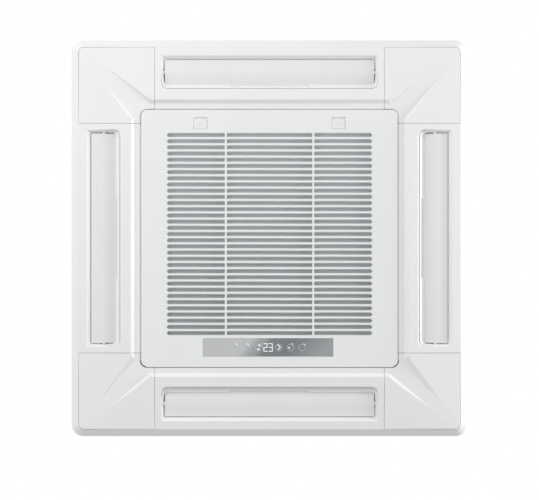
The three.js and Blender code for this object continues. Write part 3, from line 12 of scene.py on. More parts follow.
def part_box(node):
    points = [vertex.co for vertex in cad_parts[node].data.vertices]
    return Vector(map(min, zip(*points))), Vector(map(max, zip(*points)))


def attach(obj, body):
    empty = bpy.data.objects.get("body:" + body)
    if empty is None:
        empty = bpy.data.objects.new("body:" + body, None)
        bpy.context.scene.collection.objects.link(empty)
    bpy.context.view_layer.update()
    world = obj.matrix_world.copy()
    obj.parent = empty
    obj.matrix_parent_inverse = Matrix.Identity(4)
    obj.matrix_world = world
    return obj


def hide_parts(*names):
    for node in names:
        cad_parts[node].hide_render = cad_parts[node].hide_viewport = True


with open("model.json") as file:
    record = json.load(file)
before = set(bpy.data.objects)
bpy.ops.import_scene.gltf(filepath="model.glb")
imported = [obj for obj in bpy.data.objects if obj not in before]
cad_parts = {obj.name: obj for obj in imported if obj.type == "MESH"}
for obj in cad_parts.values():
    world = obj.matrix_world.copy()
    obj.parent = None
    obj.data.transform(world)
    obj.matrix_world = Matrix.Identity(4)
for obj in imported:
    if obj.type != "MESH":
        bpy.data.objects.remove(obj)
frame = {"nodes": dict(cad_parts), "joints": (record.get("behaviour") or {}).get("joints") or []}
scene = bpy.context.scene
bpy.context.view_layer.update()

# ---- Camera ----
# A long lens straight below the panel, with the latches at the top of the picture. The panel's centre lies
# a little above the middle of the picture.
picture_width = 539
panel_in_picture = 398
panel_centre_above_middle = 11.8
camera_distance = 5.0
film_width = 36
panel_low, panel_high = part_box("panel_frame")
metres_per_pixel = (panel_high.x - panel_low.x) / panel_in_picture
camera_data = bpy.data.cameras.new("camera_below")
camera_data.sensor_width = film_width
camera_data.lens = film_width * camera_distance / (picture_width * metres_per_pixel)
camera = bpy.data.objects.new("camera_below", camera_data)
camera.location = (0, panel_centre_above_middle * metres_per_pixel, panel_low.z - camera_distance)
camera.rotation_euler = (math.pi, 0, 0)
scene.collection.objects.link(camera)
scene.camera = camera

# ---- Studio: world, floor and lamps ----
# A white surround that the camera, gloss and glass see, and a grey one that lights the object evenly. Large
# soft lamps from below shape the panel, with a grazing one at its right, and two more light the cabinet.
scene.view_settings.view_transform = "Standard"
world = bpy.data.worlds.new("studio")
scene.world = world
world.use_nodes = True
tree = world.node_tree
tree.nodes.clear()
rays = tree.nodes.new("ShaderNodeLightPath")
camera_or_gloss = tree.nodes.new("ShaderNodeMath")
camera_or_gloss.operation = "MAXIMUM"
tree.links.new(rays.outputs["Is Camera Ray"], camera_or_gloss.inputs[0])
tree.links.new(rays.outputs["Is Glossy Ray"], camera_or_gloss.inputs[1])
seen = tree.nodes.new("ShaderNodeMath")
seen.operation = "MAXIMUM"
tree.links.new(camera_or_gloss.outputs[0], seen.inputs[0])
tree.links.new(rays.outputs["Is Transmission Ray"], seen.inputs[1])
ambient = tree.nodes.new("ShaderNodeBackground")
ambient.inputs["Color"].default_value = (0.97, 0.985, 1.0, 1)
ambient.inputs["Strength"].default_value = 0.60
surround = tree.nodes.new("ShaderNodeBackground")
surround.inputs["Color"].default_value = (1, 1, 1, 1)
surround.inputs["Strength"].default_value = 1.0
mix = tree.nodes.new("ShaderNodeMixShader")
tree.links.new(seen.outputs[0], mix.inputs["Fac"])
tree.links.new(ambient.outputs[0], mix.inputs[1])
tree.links.new(surround.outputs[0], mix.inputs[2])
out = tree.nodes.new("ShaderNodeOutputWorld")
tree.links.new(mix.outputs[0], out.inputs["Surface"])

# The floor lies well below the panel. Only the camera sees it, and only from above, so that it neither
# hides the panel from a camera below nor shades it.
floor_depth = 0.9
floor_reach = 14
floor_mesh = bpy.data.meshes.new("floor")
work = bmesh.new()
bmesh.ops.create_grid(work, x_segments=1, y_segments=1, size=floor_reach)
bmesh.ops.translate(work, verts=work.verts, vec=(0, 0, -floor_depth))
work.to_mesh(floor_mesh)
work.free()
floor = bpy.data.objects.new("floor", floor_mesh)
scene.collection.objects.link(floor)
floor_material = bpy.data.materials.new("pale_floor")
floor_material.use_nodes = True
tree = floor_material.node_tree
tree.nodes.clear()
rays = tree.nodes.new("ShaderNodeLightPath")
facing = tree.nodes.new("ShaderNodeNewGeometry")
front = tree.nodes.new("ShaderNodeMath")
front.operation = "SUBTRACT"
front.inputs[0].default_value = 1
tree.links.new(facing.outputs["Backfacing"], front.inputs[1])
shown = tree.nodes.new("ShaderNodeMath")
shown.operation = "MULTIPLY"
tree.links.new(rays.outputs["Is Camera Ray"], shown.inputs[0])
tree.links.new(front.outputs[0], shown.inputs[1])
pale = tree.nodes.new("ShaderNodeBsdfDiffuse")
pale.inputs["Color"].default_value = (0.86, 0.86, 0.86, 1)
clear = tree.nodes.new("ShaderNodeBsdfTransparent")
mix = tree.nodes.new("ShaderNodeMixShader")
tree.links.new(shown.outputs[0], mix.inputs["Fac"])
tree.links.new(clear.outputs[0], mix.inputs[1])
tree.links.new(pale.outputs[0], mix.inputs[2])
out = tree.nodes.new("ShaderNodeOutputMaterial")
tree.links.new(mix.outputs[0], out.inputs["Surface"])
floor_mesh.materials.append(floor_material)


def softbox(name, place, aim, size, power):
    """A square area lamp, turned to face the point that it aims at."""
    data = bpy.data.lights.new(name, "AREA")
    data.shape = "SQUARE"
    data.size = size
    data.energy = power
    lamp = bpy.data.objects.new(name, data)
    lamp.location = place
    direction = Vector(aim) - Vector(place)
    lamp.rotation_euler = direction.to_track_quat("-Z", "Y").to_euler()
    scene.collection.objects.link(lamp)


softbox("key_below", (-0.6, -2.6, -1.8), (0, 0, 0), 1.3, 24)
softbox("left_below", (-2.2, -0.8, -1.6), (0, 0, 0), 1.4, 23)
softbox("right_grazing", (2.9, -0.2, -0.55), (0, 0, 0), 0.9, 46)
softbox("top_above", (-1.4, -1.8, 3.0), (0, 0, 0.1), 2.0, 70)
softbox("fill_above", (2.2, 1.6, 2.2), (0, 0, 0.1), 1.8, 30)

# ---- Effects that several finishes share ----
# Fine spark-eroded grain of a moulding tool, or the cells of foam: a height for bump, and a slow mottle
# that varies colour and gloss.


def effect_group(name, inputs, outputs):
    """An empty node group with the given inputs and their first values, and the given outputs."""
    group = bpy.data.node_groups.new(name, "ShaderNodeTree")
    for label, value in inputs.items():
        socket = group.interface.new_socket(label, in_out="INPUT", socket_type="NodeSocketFloat")
        socket.default_value = value
    for label in outputs:
        group.interface.new_socket(label, in_out="OUTPUT", socket_type="NodeSocketFloat")
    start = group.nodes.new("NodeGroupInput")
    end = group.nodes.new("NodeGroupOutput")
    return group, start, end


grain_group, start, end = effect_group(
    "tool_grain", {"Grain size": 0.8, "Mottle size": 90}, ["Grain", "Mottle"]
)
mm_per_metre = 1000
place = grain_group.nodes.new("ShaderNodeTexCoord")
for label, output, detail in (("Grain size", "Grain", 2), ("Mottle size", "Mottle", 3)):
    per_metre = grain_group.nodes.new("ShaderNodeMath")
    per_metre.operation = "DIVIDE"
    per_metre.inputs[0].default_value = mm_per_metre
    grain_group.links.new(start.outputs[label], per_metre.inputs[1])
    noise = grain_group.nodes.new("ShaderNodeTexNoise")
    noise.inputs["Detail"].default_value = detail
    grain_group.links.new(place.outputs["Object"], noise.inputs["Vector"])
    grain_group.links.new(per_metre.outputs[0], noise.inputs["Scale"])
    grain_group.links.new(noise.outputs["Fac"], end.inputs[output])


def between(tree, factor, low, high):
    """A value or colour that runs from low to high as the factor goes from 0 to 1."""
    ramp = tree.nodes.new("ShaderNodeValToRGB")
    ramp.color_ramp.elements[0].color = (*low, 1)
    ramp.color_ramp.elements[1].color = (*high, 1)
    tree.links.new(factor, ramp.inputs["Fac"])
    return ramp.outputs["Color"]


def new_finish(name, metallic=0.0):
    """A new material, with its node tree and its shader."""
    material = bpy.data.materials.new(name)
    material.use_nodes = True
    shader = material.node_tree.nodes["Principled BSDF"]
    shader.inputs["Metallic"].default_value = metallic
    return material, material.node_tree, shader


def in_relief(tree, height, depth, strength=1.0):
    """Lets a height stand out of the finish by the given depth, in millimetres."""
    bump = tree.nodes.new("ShaderNodeBump")
    bump.inputs["Strength"].default_value = strength
    bump.inputs["Distance"].default_value = depth / mm_per_metre
    tree.links.new(height, bump.inputs["Height"])
    tree.links.new(bump.outputs["Normal"], tree.nodes["Principled BSDF"].inputs["Normal"])
    return bump


def grained(name, low, high, gloss, grain=0.8, depth=0.02, mottle=90, metallic=0.0):
    """A finish with a tool grain. Its colour mottles from low to high, and its roughness over the gloss."""
    material, tree, shader = new_finish(name, metallic)
    effect = tree.nodes.new("ShaderNodeGroup")
    effect.node_tree = grain_group
    effect.inputs["Grain size"].default_value = grain
    effect.inputs["Mottle size"].default_value = mottle
    tree.links.new(between(tree, effect.outputs["Mottle"], low, high), shader.inputs["Base Color"])
    rough = between(tree, effect.outputs["Mottle"], *[(value,) * 3 for value in gloss])
    tree.links.new(rough, shader.inputs["Roughness"])
    in_relief(tree, effect.outputs["Grain"], depth, strength=0.5)
    return material


# ---- Panel frame ----
# One large injection moulding: sloped margin, face, step, recess and the four flared outlets. Its edges
# carry the small radii of the mould, and a narrow lip inside the grille's opening closes the seam to light.


def flats_and_corners(node):
    """A CAD node's surface as flat faces with shared corners."""
    weld, flat = 0.02, math.radians(0.6)
    work = bmesh.new()
    work.from_mesh(frame["nodes"][node].data)
    bmesh.ops.remove_doubles(work, verts=work.verts, dist=weld / mm_per_metre)
    bmesh.ops.dissolve_limit(work, angle_limit=flat, verts=work.verts, edges=work.edges)
    return work


def round_edges(work, radius, segments=2, sharp=28):
    """Rounds every edge where two faces meet at more than the sharp angle, in degrees. Radii are in mm."""
    edges = [
        edge
        for edge in work.edges
        if len(edge.link_faces) == 2
        and edge.calc_face_angle() > math.radians(sharp)
        and edge.calc_length() > radius / mm_per_metre
    ]
    bmesh.ops.bevel(
        work,
        geom=edges,
        offset=radius / mm_per_metre,
        offset_type="OFFSET",
        affect="EDGES",
        segments=segments,
        profile=0.5,
        material=-1,
        clamp_overlap=False,
    )


def finished(work, name, body, slot, material, *nodes, smooth=34):
    """The mesh as a piece that rides on a body, stands for the CAD nodes and shades smooth up to an angle."""
    mesh = bpy.data.meshes.new(name)
    work.to_mesh(mesh)
    work.free()
    mesh.polygons.foreach_set("use_smooth", [True] * len(mesh.polygons))
    mesh.set_sharp_from_angle(angle=math.radians(smooth))
    mesh.materials.append(material)
    piece = bpy.data.objects.new(name, mesh)
    scene.collection.objects.link(piece)
    piece.modifiers.new("even_shading", "WEIGHTED_NORMAL").keep_sharp = True
    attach(piece, body)
    if nodes:
        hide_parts(*nodes)
    return piece


white, lighter_white = (0.80, 0.805, 0.80), (0.83, 0.835, 0.83)
panel_plastic = grained(
    "panel_plastic", white, lighter_white, (0.34, 0.42), grain=0.9, depth=0.015, mottle=120
)
grille_low, grille_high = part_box("inlet_grille")
seam = 0.003
opening = grille_high.x + seam
corner_radius = 0.017
arc_centre = opening - corner_radius
lip_reach = 0.0019
lip_low, lip_high = -0.0229, -0.0214


def from_arc(point):
    """The outward direction and distance of a point from the square that joins the opening's arc centres."""
    inner = Vector([max(-arc_centre, min(arc_centre, value)) for value in point.xy])
    reach = point.xy - inner
    return reach, reach.length


def verts_of(made):
    """The vertices among what an operator made."""
    return [item for item in made["geom"] if isinstance(item, bmesh.types.BMVert)]


def closing_lip(work):
    """Draws a thin lip inwards from the wall of the grille's opening, except where the hinge edge swings."""
    near_wall, at_wall, at_height = 1e-3, 4e-4, 1e-5
    for height in (lip_low, lip_high):
        on_wall = {vert for vert in work.verts if abs(from_arc(vert.co)[1] - corner_radius) < near_wall}
        wall = [face for face in work.faces if on_wall.issuperset(face.verts)]
        edges = {edge for face in wall for edge in face.edges}
        verts = {vert for face in wall for vert in face.verts}
        cut = [*wall, *edges, *verts]
        bmesh.ops.bisect_plane(work, geom=cut, plane_co=(0, 0, height), plane_no=(0, 0, 1))
    band = [
        face
        for face in work.faces
        if all(lip_low - at_height < vert.co.z < lip_high + at_height for vert in face.verts)
        and all(abs(from_arc(vert.co)[1] - corner_radius) < at_wall for vert in face.verts)
        and face.calc_center_median().y < arc_centre
    ]
    lip = bmesh.ops.extrude_face_region(work, geom=band)
    for vert in verts_of(lip):
        reach, length = from_arc(vert.co)
        vert.co.xy -= reach * (lip_reach / length)
    bmesh.ops.delete(work, geom=band, context="FACES")


work = flats_and_corners("panel_frame")
round_edges(work, 0.8)
closing_lip(work)
finished(work, "panel_moulding", "unit", "white_panel", panel_plastic, "panel_frame")

# ---- Corner covers ----
# Four loose covers, moulded in the same plastic, over the adjusting nuts of the hanging rods. A thin shadow
# line runs round each, and a crease runs out of the recess into it. Each fills its pocket a little more than
# the CAD node does, which leaves a finer seam.
cover_growth = 1.008
cover_seam, seam_left = 0.0015, 1e-4
at_inner_edge = 3e-4
for number in range(1, 5):
    node = f"corner_cover_{number}"
    work = flats_and_corners(node)
    cover_low, cover_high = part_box(node)
    middle = 0.5 * (cover_low + cover_high)
    for vert in work.verts:
        reach, length = from_arc(vert.co)
        grown = middle.xy + cover_growth * (vert.co.xy - middle.xy)
        if abs(length - corner_radius - cover_seam) < at_inner_edge:
            along_wall = Vector((abs(reach.y) / length, abs(reach.x) / length))
            shift = grown - vert.co.xy
            vert.co.xy -= reach * ((cover_seam - seam_left) / length)
            vert.co.xy += Vector((shift.x * along_wall.x, shift.y * along_wall.y))
        else:
            vert.co.xy = grown
    round_edges(work, 0.5)
    closing_lip(work)
    finished(work, f"corner_cap_{number}", "unit", "white_panel", panel_plastic, node)

# ---- Louvres ----
# A crowned blade on two pins, a shade greyer than the panel. It all but fills the outlet when shut, so that
# only a hairline shows round it and its pins stay out of sight.
louvre_plastic = grained(
    "louvre_plastic", (0.76, 0.765, 0.76), (0.79, 0.795, 0.79), (0.36, 0.44), depth=0.012, mottle=70
)
blade_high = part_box("louvre_1")[1]
pivot = next(Vector(joint["pos_m"]) for joint in frame["joints"] if joint["name"] == "louvre_a_swing")
blade_half_width = blade_high.x - pivot.x
blade_end = 0.2475
hub, hub_underside = 0.0052, 0.0048

# The blade's inner edge moves inward, its outer edge outward and down, and its ends along the outlet. The
# corners of its tongue move from the first place to the second.
inward, outward, lower = 0.0016, 0.0045, 0.0025
longer, longer_outside = 0.0026, 0.0037
tongue_corners = ((0.0845, 0.0938), (0.0925, 0.0948))
at_edge, at_corner = 1e-4, 3e-4


def about_z(degrees):
    """A turn about the upright axis."""
    return Matrix.Rotation(math.radians(degrees), 3, "Z")


for number, body in enumerate(("louvre_a", "louvre_b", "louvre_c", "louvre_d"), start=1):
    work = flats_and_corners("louvre_1")
    for vert in work.verts:
        across = vert.co.x - pivot.x
        off_axis = math.hypot(across, vert.co.z - pivot.z)
        if abs(across + blade_half_width) < at_edge:
            vert.co.x -= inward
        if abs(across - blade_half_width) < at_edge:
            vert.co.x += outward
            vert.co.z -= lower
        past_hub = off_axis > hub or vert.co.z < pivot.z - hub_underside
        if abs(abs(vert.co.y) - blade_end) < at_edge and past_hub:
            vert.co.y += math.copysign(longer_outside if across > hub else longer, vert.co.y)
        for place, fuller in tongue_corners:
            if abs(abs(vert.co.y) - place) < at_corner and across < at_edge - blade_half_width:
                vert.co.y = math.copysign(fuller, vert.co.y)
    bmesh.ops.rotate(work, verts=work.verts, matrix=about_z(90 * (number - 1)))
    round_edges(work, 0.4)
    finished(work, f"louvre_blade_{number}", body, "white_louvre", louvre_plastic, f"louvre_{number}")

# ---- Outlet ledges ----
# A thin ledge of the moulding runs along the inner wall of each outlet, just under the shut blade and its
# tongue, and closes that gap to light. The blade's inner edge swings up and away from it.
wall_x, tongue_wall_x = pivot.x - 0.0318, pivot.x - 0.0341
under_blade, under_tongue = pivot.x - 0.0270, pivot.x - 0.0308
ledge_end, tongue_half = 0.2525, 0.0936
ledge_low, ledge_high = pivot.z - 0.0034, pivot.z - 0.0024
slope, wall_step = 0.0005, 0.0016
half_plan = [
    (under_tongue, tongue_half - slope),
    (under_blade, tongue_half + slope),
    (under_blade, ledge_end),
    (wall_x, ledge_end),
    (wall_x, tongue_half + wall_step),
    (tongue_wall_x, tongue_half + wall_step),
]
plan = half_plan + [(x, -y) for x, y in reversed(half_plan)]
work = bmesh.new()
for quarter in range(4):
    base = work.faces.new([work.verts.new((x, y, ledge_low)) for x, y in plan])
    raised = bmesh.ops.extrude_face_region(work, geom=[base], use_keep_orig=True)
    bmesh.ops.translate(work, verts=verts_of(raised), vec=(0, 0, ledge_high - ledge_low))
    bmesh.ops.rotate(work, verts=work.verts, matrix=about_z(90))
bmesh.ops.recalc_face_normals(work, faces=work.faces)
finished(work, "outlet_ledges", "unit", "white_panel", panel_plastic)

# ---- Inlet grille ----
# A plate with rows of slats between two cross ribs, hung on two hinge pins. Beyond the slots' ends each slat
# runs out over the plate in a short tapered ridge, by turns long and short.
grille_plastic = grained(
    "grille_plastic", white, lighter_white, (0.34, 0.42), grain=0.9, depth=0.015, mottle=120
)

# The face side of the hinge edge stands out towards the opening's wall, which has no lip there.
hinge_edge_out = 0.0018
hinge_edge_from, hinge_edge_half, hinge_edge_top = grille_high.y - 0.0017, arc_centre + 5e-4, -0.0198
work = flats_and_corners("inlet_grille")
for vert in work.verts:
    on_edge = vert.co.y > hinge_edge_from and abs(vert.co.x) < hinge_edge_half
    if on_edge and vert.co.z < hinge_edge_top:
        vert.co.y += hinge_edge_out
round_edges(work, 0.6)
finished(work, "grille_moulding", "grille", "white_panel", grille_plastic, "inlet_grille")

slot_pitch, slot_width, first_slot = 0.0148, 0.0099, 0.055
slot_end = 0.2465
slat_width = slot_pitch - slot_width
first_slat = grille_low.y + first_slot + slot_pitch - 0.5 * slat_width
ridge_rows = 31
ridge_width, ridge_rise = 0.0036, 0.0005
long_ridge, short_ridge = 0.030, 0.018
ridge_taper, ridge_lap = 0.4, 0.001
work = bmesh.new()
for row in range(ridge_rows):
    length = long_ridge if row % 2 else short_ridge
    for side in (-1, 1):
        made = bmesh.ops.create_cube(work, size=1)["verts"]
        bmesh.ops.scale(work, verts=made, vec=(length, ridge_width, 2 * ridge_rise))
        for vert in made:
            if vert.co.x * side > 0:
                vert.co.y *= ridge_taper
                vert.co.z = 0 if vert.co.z < 0 else ridge_rise
        along = side * (slot_end + length / 2 - ridge_lap)
        bmesh.ops.translate(work, verts=made, vec=(along, first_slat + row * slot_pitch, grille_low.z))
round_edges(work, 0.3, segments=1)
finished(work, "slat_ridges", "grille", "white_panel", grille_plastic)

# ---- Latch buttons ----
# Two buttons that slide towards the grille's edge to free it, each a shallow cap with three finger ribs, in
# the same plastic as the grille.


def dressed(node, name, body, slot, material, radius, smooth=34):
    """A CAD node's own shape, with its edges rounded and the given finish."""
    work = flats_and_corners(node)
    if radius:
        round_edges(work, radius)
    return finished(work, name, body, slot, material, node, smooth=smooth)


for side in ("left", "right"):
    dressed(f"latch_button_{side}", f"latch_cap_{side}", f"latch_{side}", "white_panel", grille_plastic, 0.35)

# ---- Display ----
# A moulded window with a mirror finish, set in the grille beside its hinge edge. Its colour is a painted
# reflection of the room: a soft slanting gradient, light at one end and darkest just past the middle.
window_low, window_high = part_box("display_window")
window_middle = 0.5 * (window_low.y + window_high.y)
lean = 0.8
mirror, tree, shader = new_finish("mirror_window_painted_reflection", metallic=1.0)
place = tree.nodes.new("ShaderNodeTexCoord")
split = tree.nodes.new("ShaderNodeSeparateXYZ")
tree.links.new(place.outputs["Object"], split.inputs[0])
slant = tree.nodes.new("ShaderNodeMath")
slant.operation = "MULTIPLY_ADD"
slant.inputs[1].default_value = lean
tree.links.new(split.outputs["Y"], slant.inputs[0])
tree.links.new(split.outputs["X"], slant.inputs[2])
along = tree.nodes.new("ShaderNodeMapRange")
along.inputs["From Min"].default_value = window_low.x + lean * window_middle
along.inputs["From Max"].default_value = window_high.x + lean * window_middle
tree.links.new(slant.outputs[0], along.inputs["Value"])
# Painted reflection: the base colour runs light, then dark, then lighter again along the slant.
painted_reflection = tree.nodes.new("ShaderNodeValToRGB")
painted_reflection.color_ramp.interpolation = "EASE"
stops = [
    (0.0, (0.49, 0.50, 0.51)),
    (0.30, (0.50, 0.51, 0.52)),
    (0.42, (0.33, 0.345, 0.35)),
    (0.50, (0.205, 0.22, 0.225)),
    (0.62, (0.195, 0.21, 0.22)),
    (1.0, (0.32, 0.335, 0.34)),
]
for element, (position, colour) in zip(painted_reflection.color_ramp.elements, (stops[0], stops[-1])):
    element.position, element.color = position, (*colour, 1)
for position, colour in stops[1:-1]:
    painted_reflection.color_ramp.elements.new(position).color = (*colour, 1)
tree.links.new(along.outputs["Result"], painted_reflection.inputs["Fac"])
tree.links.new(painted_reflection.outputs["Color"], shader.inputs["Base Color"])
effect = tree.nodes.new("ShaderNodeGroup")
effect.node_tree = grain_group
effect.inputs["Mottle size"].default_value = 40
gloss = between(tree, effect.outputs["Mottle"], (0.14,) * 3, (0.2,) * 3)
tree.links.new(gloss, shader.inputs["Roughness"])
dressed("display_window", "display_glass", "grille", "window", mirror, 0.3)

# ---- Display marks ----
# Two digits and a row of small round symbols, lit through the window: the digits and the dots bright, the
# rings faint. The strokes are as wide as the light bars of such a display.


def light_mark(name, level, glow):
    """The finish of a mark that glows a little with its own colour."""
    material, tree, shader = new_finish(name)
    shader.inputs["Roughness"].default_value = 0.5
    shader.inputs["Emission Strength"].default_value = glow
    effect = tree.nodes.new("ShaderNodeGroup")
    effect.node_tree = grain_group
    effect.inputs["Mottle size"].default_value = 6
    low = tuple(0.9 * part for part in level)
    colour = between(tree, effect.outputs["Mottle"], low, level)
    tree.links.new(colour, shader.inputs["Base Color"])
    tree.links.new(colour, shader.inputs["Emission Color"])
    return material


bright_light = light_mark("display_light", (0.76, 0.80, 0.80), 0.28)
faint_light = light_mark("display_light_dim", (0.42, 0.44, 0.445), 0.08)
mark_layer = (window_low.z - 0.0002, window_low.z - 0.00002)
digit_height, digit_width, bar_width = 0.0203, 0.0100, 0.0021
dot_half, dot_width = 0.0008, 0.0042
ring_radius, ring_width = 0.0080, 0.0013


def stroke(work, start, end, width):
    """A light bar with rounded ends between two points of the window."""
    level, end_radius = 1e-5, 0.4 * width
    start, end = Vector(start), Vector(end)
    made = bmesh.ops.create_cube(work, size=1)["verts"]
    run = end - start
    size = (run.length + width, width, mark_layer[1] - mark_layer[0])
    bmesh.ops.scale(work, verts=made, vec=size)
    edges = {edge for vert in made for edge in vert.link_edges}
    upright = [edge for edge in edges if abs(edge.verts[0].co.z - edge.verts[1].co.z) > level]
    rounded = bmesh.ops.bevel(
        work, geom=upright, offset=end_radius, affect="EDGES", segments=3, profile=0.5, material=-1
    )
    made = list({vert for face in rounded["faces"] for vert in face.verts})
    bmesh.ops.rotate(work, verts=made, matrix=Matrix.Rotation(math.atan2(run.y, run.x), 3, "Z"))
    centre = (*(start + run / 2), 0.5 * sum(mark_layer))
    bmesh.ops.translate(work, verts=made, vec=centre)


def ring(work, x):
    """A flat ring, drawn as a small section spun about its centre."""
    corners = [(ring_radius - ring_width / 2, mark_layer[0]), (ring_radius + ring_width / 2, mark_layer[0])]
    corners += [(reach, mark_layer[1]) for reach, _ in reversed(corners)]
    verts = [work.verts.new((x + reach, window_middle, z)) for reach, z in corners]
    edges = [work.edges.new((verts[i], verts[i - 1])) for i in range(4)]
    bmesh.ops.spin(
        work,
        geom=verts + edges,
        cent=(x, window_middle, 0),
        axis=(0, 0, 1),
        angle=math.tau,
        steps=28,
        use_merge=True,
    )


# The seven bars of a digit, from one end to the other. Seen from below, the top is the -Y side.
bars = {
    "top": ((-1, -1), (1, -1)),
    "upper_left": ((-1, -1), (-1, 0)),
    "upper_right": ((1, -1), (1, 0)),
    "middle": ((-1, 0), (1, 0)),
    "lower_left": ((-1, 0), (-1, 1)),
    "lower_right": ((1, 0), (1, 1)),
    "bottom": ((-1, 1), (1, 1)),
}
digits = [
    (-0.0095, ("top", "upper_right", "middle", "lower_left", "bottom")),
    (0.0030, ("top", "upper_right", "middle", "lower_right", "bottom")),
]
work = bmesh.new()
for x, lit in digits:
    for name in lit:
        ends = [
            (x + sx * (digit_width - bar_width) / 2, window_middle + sy * (digit_height - bar_width) / 2)
            for sx, sy in bars[name]
        ]
        stroke(work, *ends, bar_width)
for x, dy in ((-0.0265, 0.0045), (-0.0235, -0.005)):
    stroke(work, (x - dot_half, window_middle + dy), (x + dot_half, window_middle + dy), dot_width)

# The strokes of the small symbols: where each starts and ends, from the window's middle, and its width.
symbol_strokes = [
    ((0.0195, -0.0065), (0.0262, -0.0005), 0.0024),
    ((0.0262, -0.0005), (0.0210, 0.0045), 0.0024),
    ((0.0465, 0.0005), (0.0478, 0.0012), 0.0034),
    ((0.0530, -0.0085), (0.0562, -0.0050), 0.0028),
    ((0.0822, -0.0080), (0.0850, -0.0045), 0.0026),
    ((-0.0810, -0.0085), (-0.0770, -0.0060), 0.0022),
    ((-0.0530, -0.0085), (-0.0490, -0.0050), 0.0022),
]
for start, end, width in symbol_strokes:
    stroke(work, *[(x, window_middle + dy) for x, dy in (start, end)], width)
bmesh.ops.recalc_face_normals(work, faces=work.faces)
finished(work, "display_digits", "grille", "window", bright_light)
work = bmesh.new()
for x in (-0.0250, 0.0218, 0.0505, 0.0775):
    ring(work, x)
bmesh.ops.recalc_face_normals(work, faces=work.faces)
finished(work, "display_symbols", "grille", "window", faint_light)

# ---- Display board ----
# The green lacquered circuit board behind the window, with its light block and its plug. It shows only from
# behind, when the grille hangs open, and keeps its CAD shape.


def refinish(node, material):
    """Gives a CAD node that is shown as it is a new finish."""
    frame["nodes"][node].material_slots[0].material = material


board_green = grained(
    "board_lacquer", (0.03, 0.16, 0.08), (0.05, 0.22, 0.11), (0.25, 0.4), grain=1.5, depth=0.05, mottle=12
)
refinish("display_board", board_green)

# ---- Filter ----
# A woven gauze in a moulded frame with ribs, laid on the back of the grille. It shows as grey between the
# slats, and painted shade darkens it towards its display side.


def crossed_waves(tree, scale, operation):
    """Bands along X and along Y, joined by the greater or the lesser of the two."""
    place = tree.nodes.new("ShaderNodeTexCoord")
    joined = tree.nodes.new("ShaderNodeMath")
    joined.operation = operation
    for side, direction in enumerate("XY"):
        wave = tree.nodes.new("ShaderNodeTexWave")
        wave.bands_direction = direction
        wave.inputs["Scale"].default_value = scale
        tree.links.new(place.outputs["Object"], wave.inputs["Vector"])
        tree.links.new(wave.outputs["Fac"], joined.inputs[side])
    return joined.outputs[0]


gauze, tree, shader = new_finish("filter_gauze")
shader.inputs["Roughness"].default_value = 0.8
weave = crossed_waves(tree, scale=210, operation="MAXIMUM")
threads_colour = between(tree, weave, (0.46, 0.485, 0.495), (0.55, 0.575, 0.585))
place = tree.nodes.new("ShaderNodeTexCoord")
split = tree.nodes.new("ShaderNodeSeparateXYZ")
tree.links.new(place.outputs["Object"], split.inputs[0])
# Painted shade: the gauze's colour darkens to 0.82 of itself towards +Y, the display side.
shade_along_y = tree.nodes.new("ShaderNodeMapRange")
shade_along_y.inputs["From Min"].default_value = -0.22
shade_along_y.inputs["From Max"].default_value = 0.2
tree.links.new(split.outputs["Y"], shade_along_y.inputs["Value"])
painted_shade = tree.nodes.new("ShaderNodeMix")
painted_shade.data_type = "RGBA"
painted_shade.blend_type = "MULTIPLY"
painted_shade.inputs["Factor"].default_value = 1
tree.links.new(threads_colour, painted_shade.inputs["A"])
tree.links.new(between(tree, shade_along_y.outputs[0], (1, 1, 1), (0.82, 0.82, 0.82)), painted_shade.inputs["B"])
tree.links.new(painted_shade.outputs["Result"], shader.inputs["Base Color"])
in_relief(tree, weave, 0.2)
dressed("air_filter", "filter_panel", "grille", "gauze", gauze, 0)

# ---- Cabinet ----
# Folded galvanised sheet with pressed beads. The spangle of the zinc shows as irregular facets of slightly
# different grey. Hexagon flange screws hold the top plate's lip, the lugs and the pipe plate.


def spangled(name, low, high, gloss):
    """Hot-dip zinc: crystals about as large as a fingertip, each with its own grey and gloss."""
    crystal_size = 14
    material, tree, shader = new_finish(name, metallic=0.85)
    place = tree.nodes.new("ShaderNodeTexCoord")
    crystals = tree.nodes.new("ShaderNodeTexVoronoi")
    crystals.inputs["Scale"].default_value = mm_per_metre / crystal_size
    crystals.inputs["Randomness"].default_value = 1
    tree.links.new(place.outputs["Object"], crystals.inputs["Vector"])
    shade = tree.nodes.new("ShaderNodeSeparateColor")
    tree.links.new(crystals.outputs["Color"], shade.inputs[0])
    tree.links.new(between(tree, shade.outputs[0], low, high), shader.inputs["Base Color"])
    rough = between(tree, shade.outputs[1], *[(value,) * 3 for value in gloss])
    tree.links.new(rough, shader.inputs["Roughness"])
    effect = tree.nodes.new("ShaderNodeGroup")
    effect.node_tree = grain_group
    effect.inputs["Grain size"].default_value = 3
    in_relief(tree, effect.outputs["Grain"], 0.04, strength=0.3)
    return material


zinc_sheet = spangled("zinc_sheet", (0.38, 0.395, 0.41), (0.49, 0.505, 0.52), (0.38, 0.52))
dressed("cabinet_shell", "cabinet_walls", "unit", "zinc_sheet", zinc_sheet, 0.5)
dressed("cabinet_top", "cabinet_lid", "unit", "zinc_sheet", zinc_sheet, 0.5)

screw_steel = grained(
    "screw_steel", (0.55, 0.56, 0.57), (0.65, 0.66, 0.67), (0.25, 0.4), grain=0.6, mottle=3, metallic=0.9
)


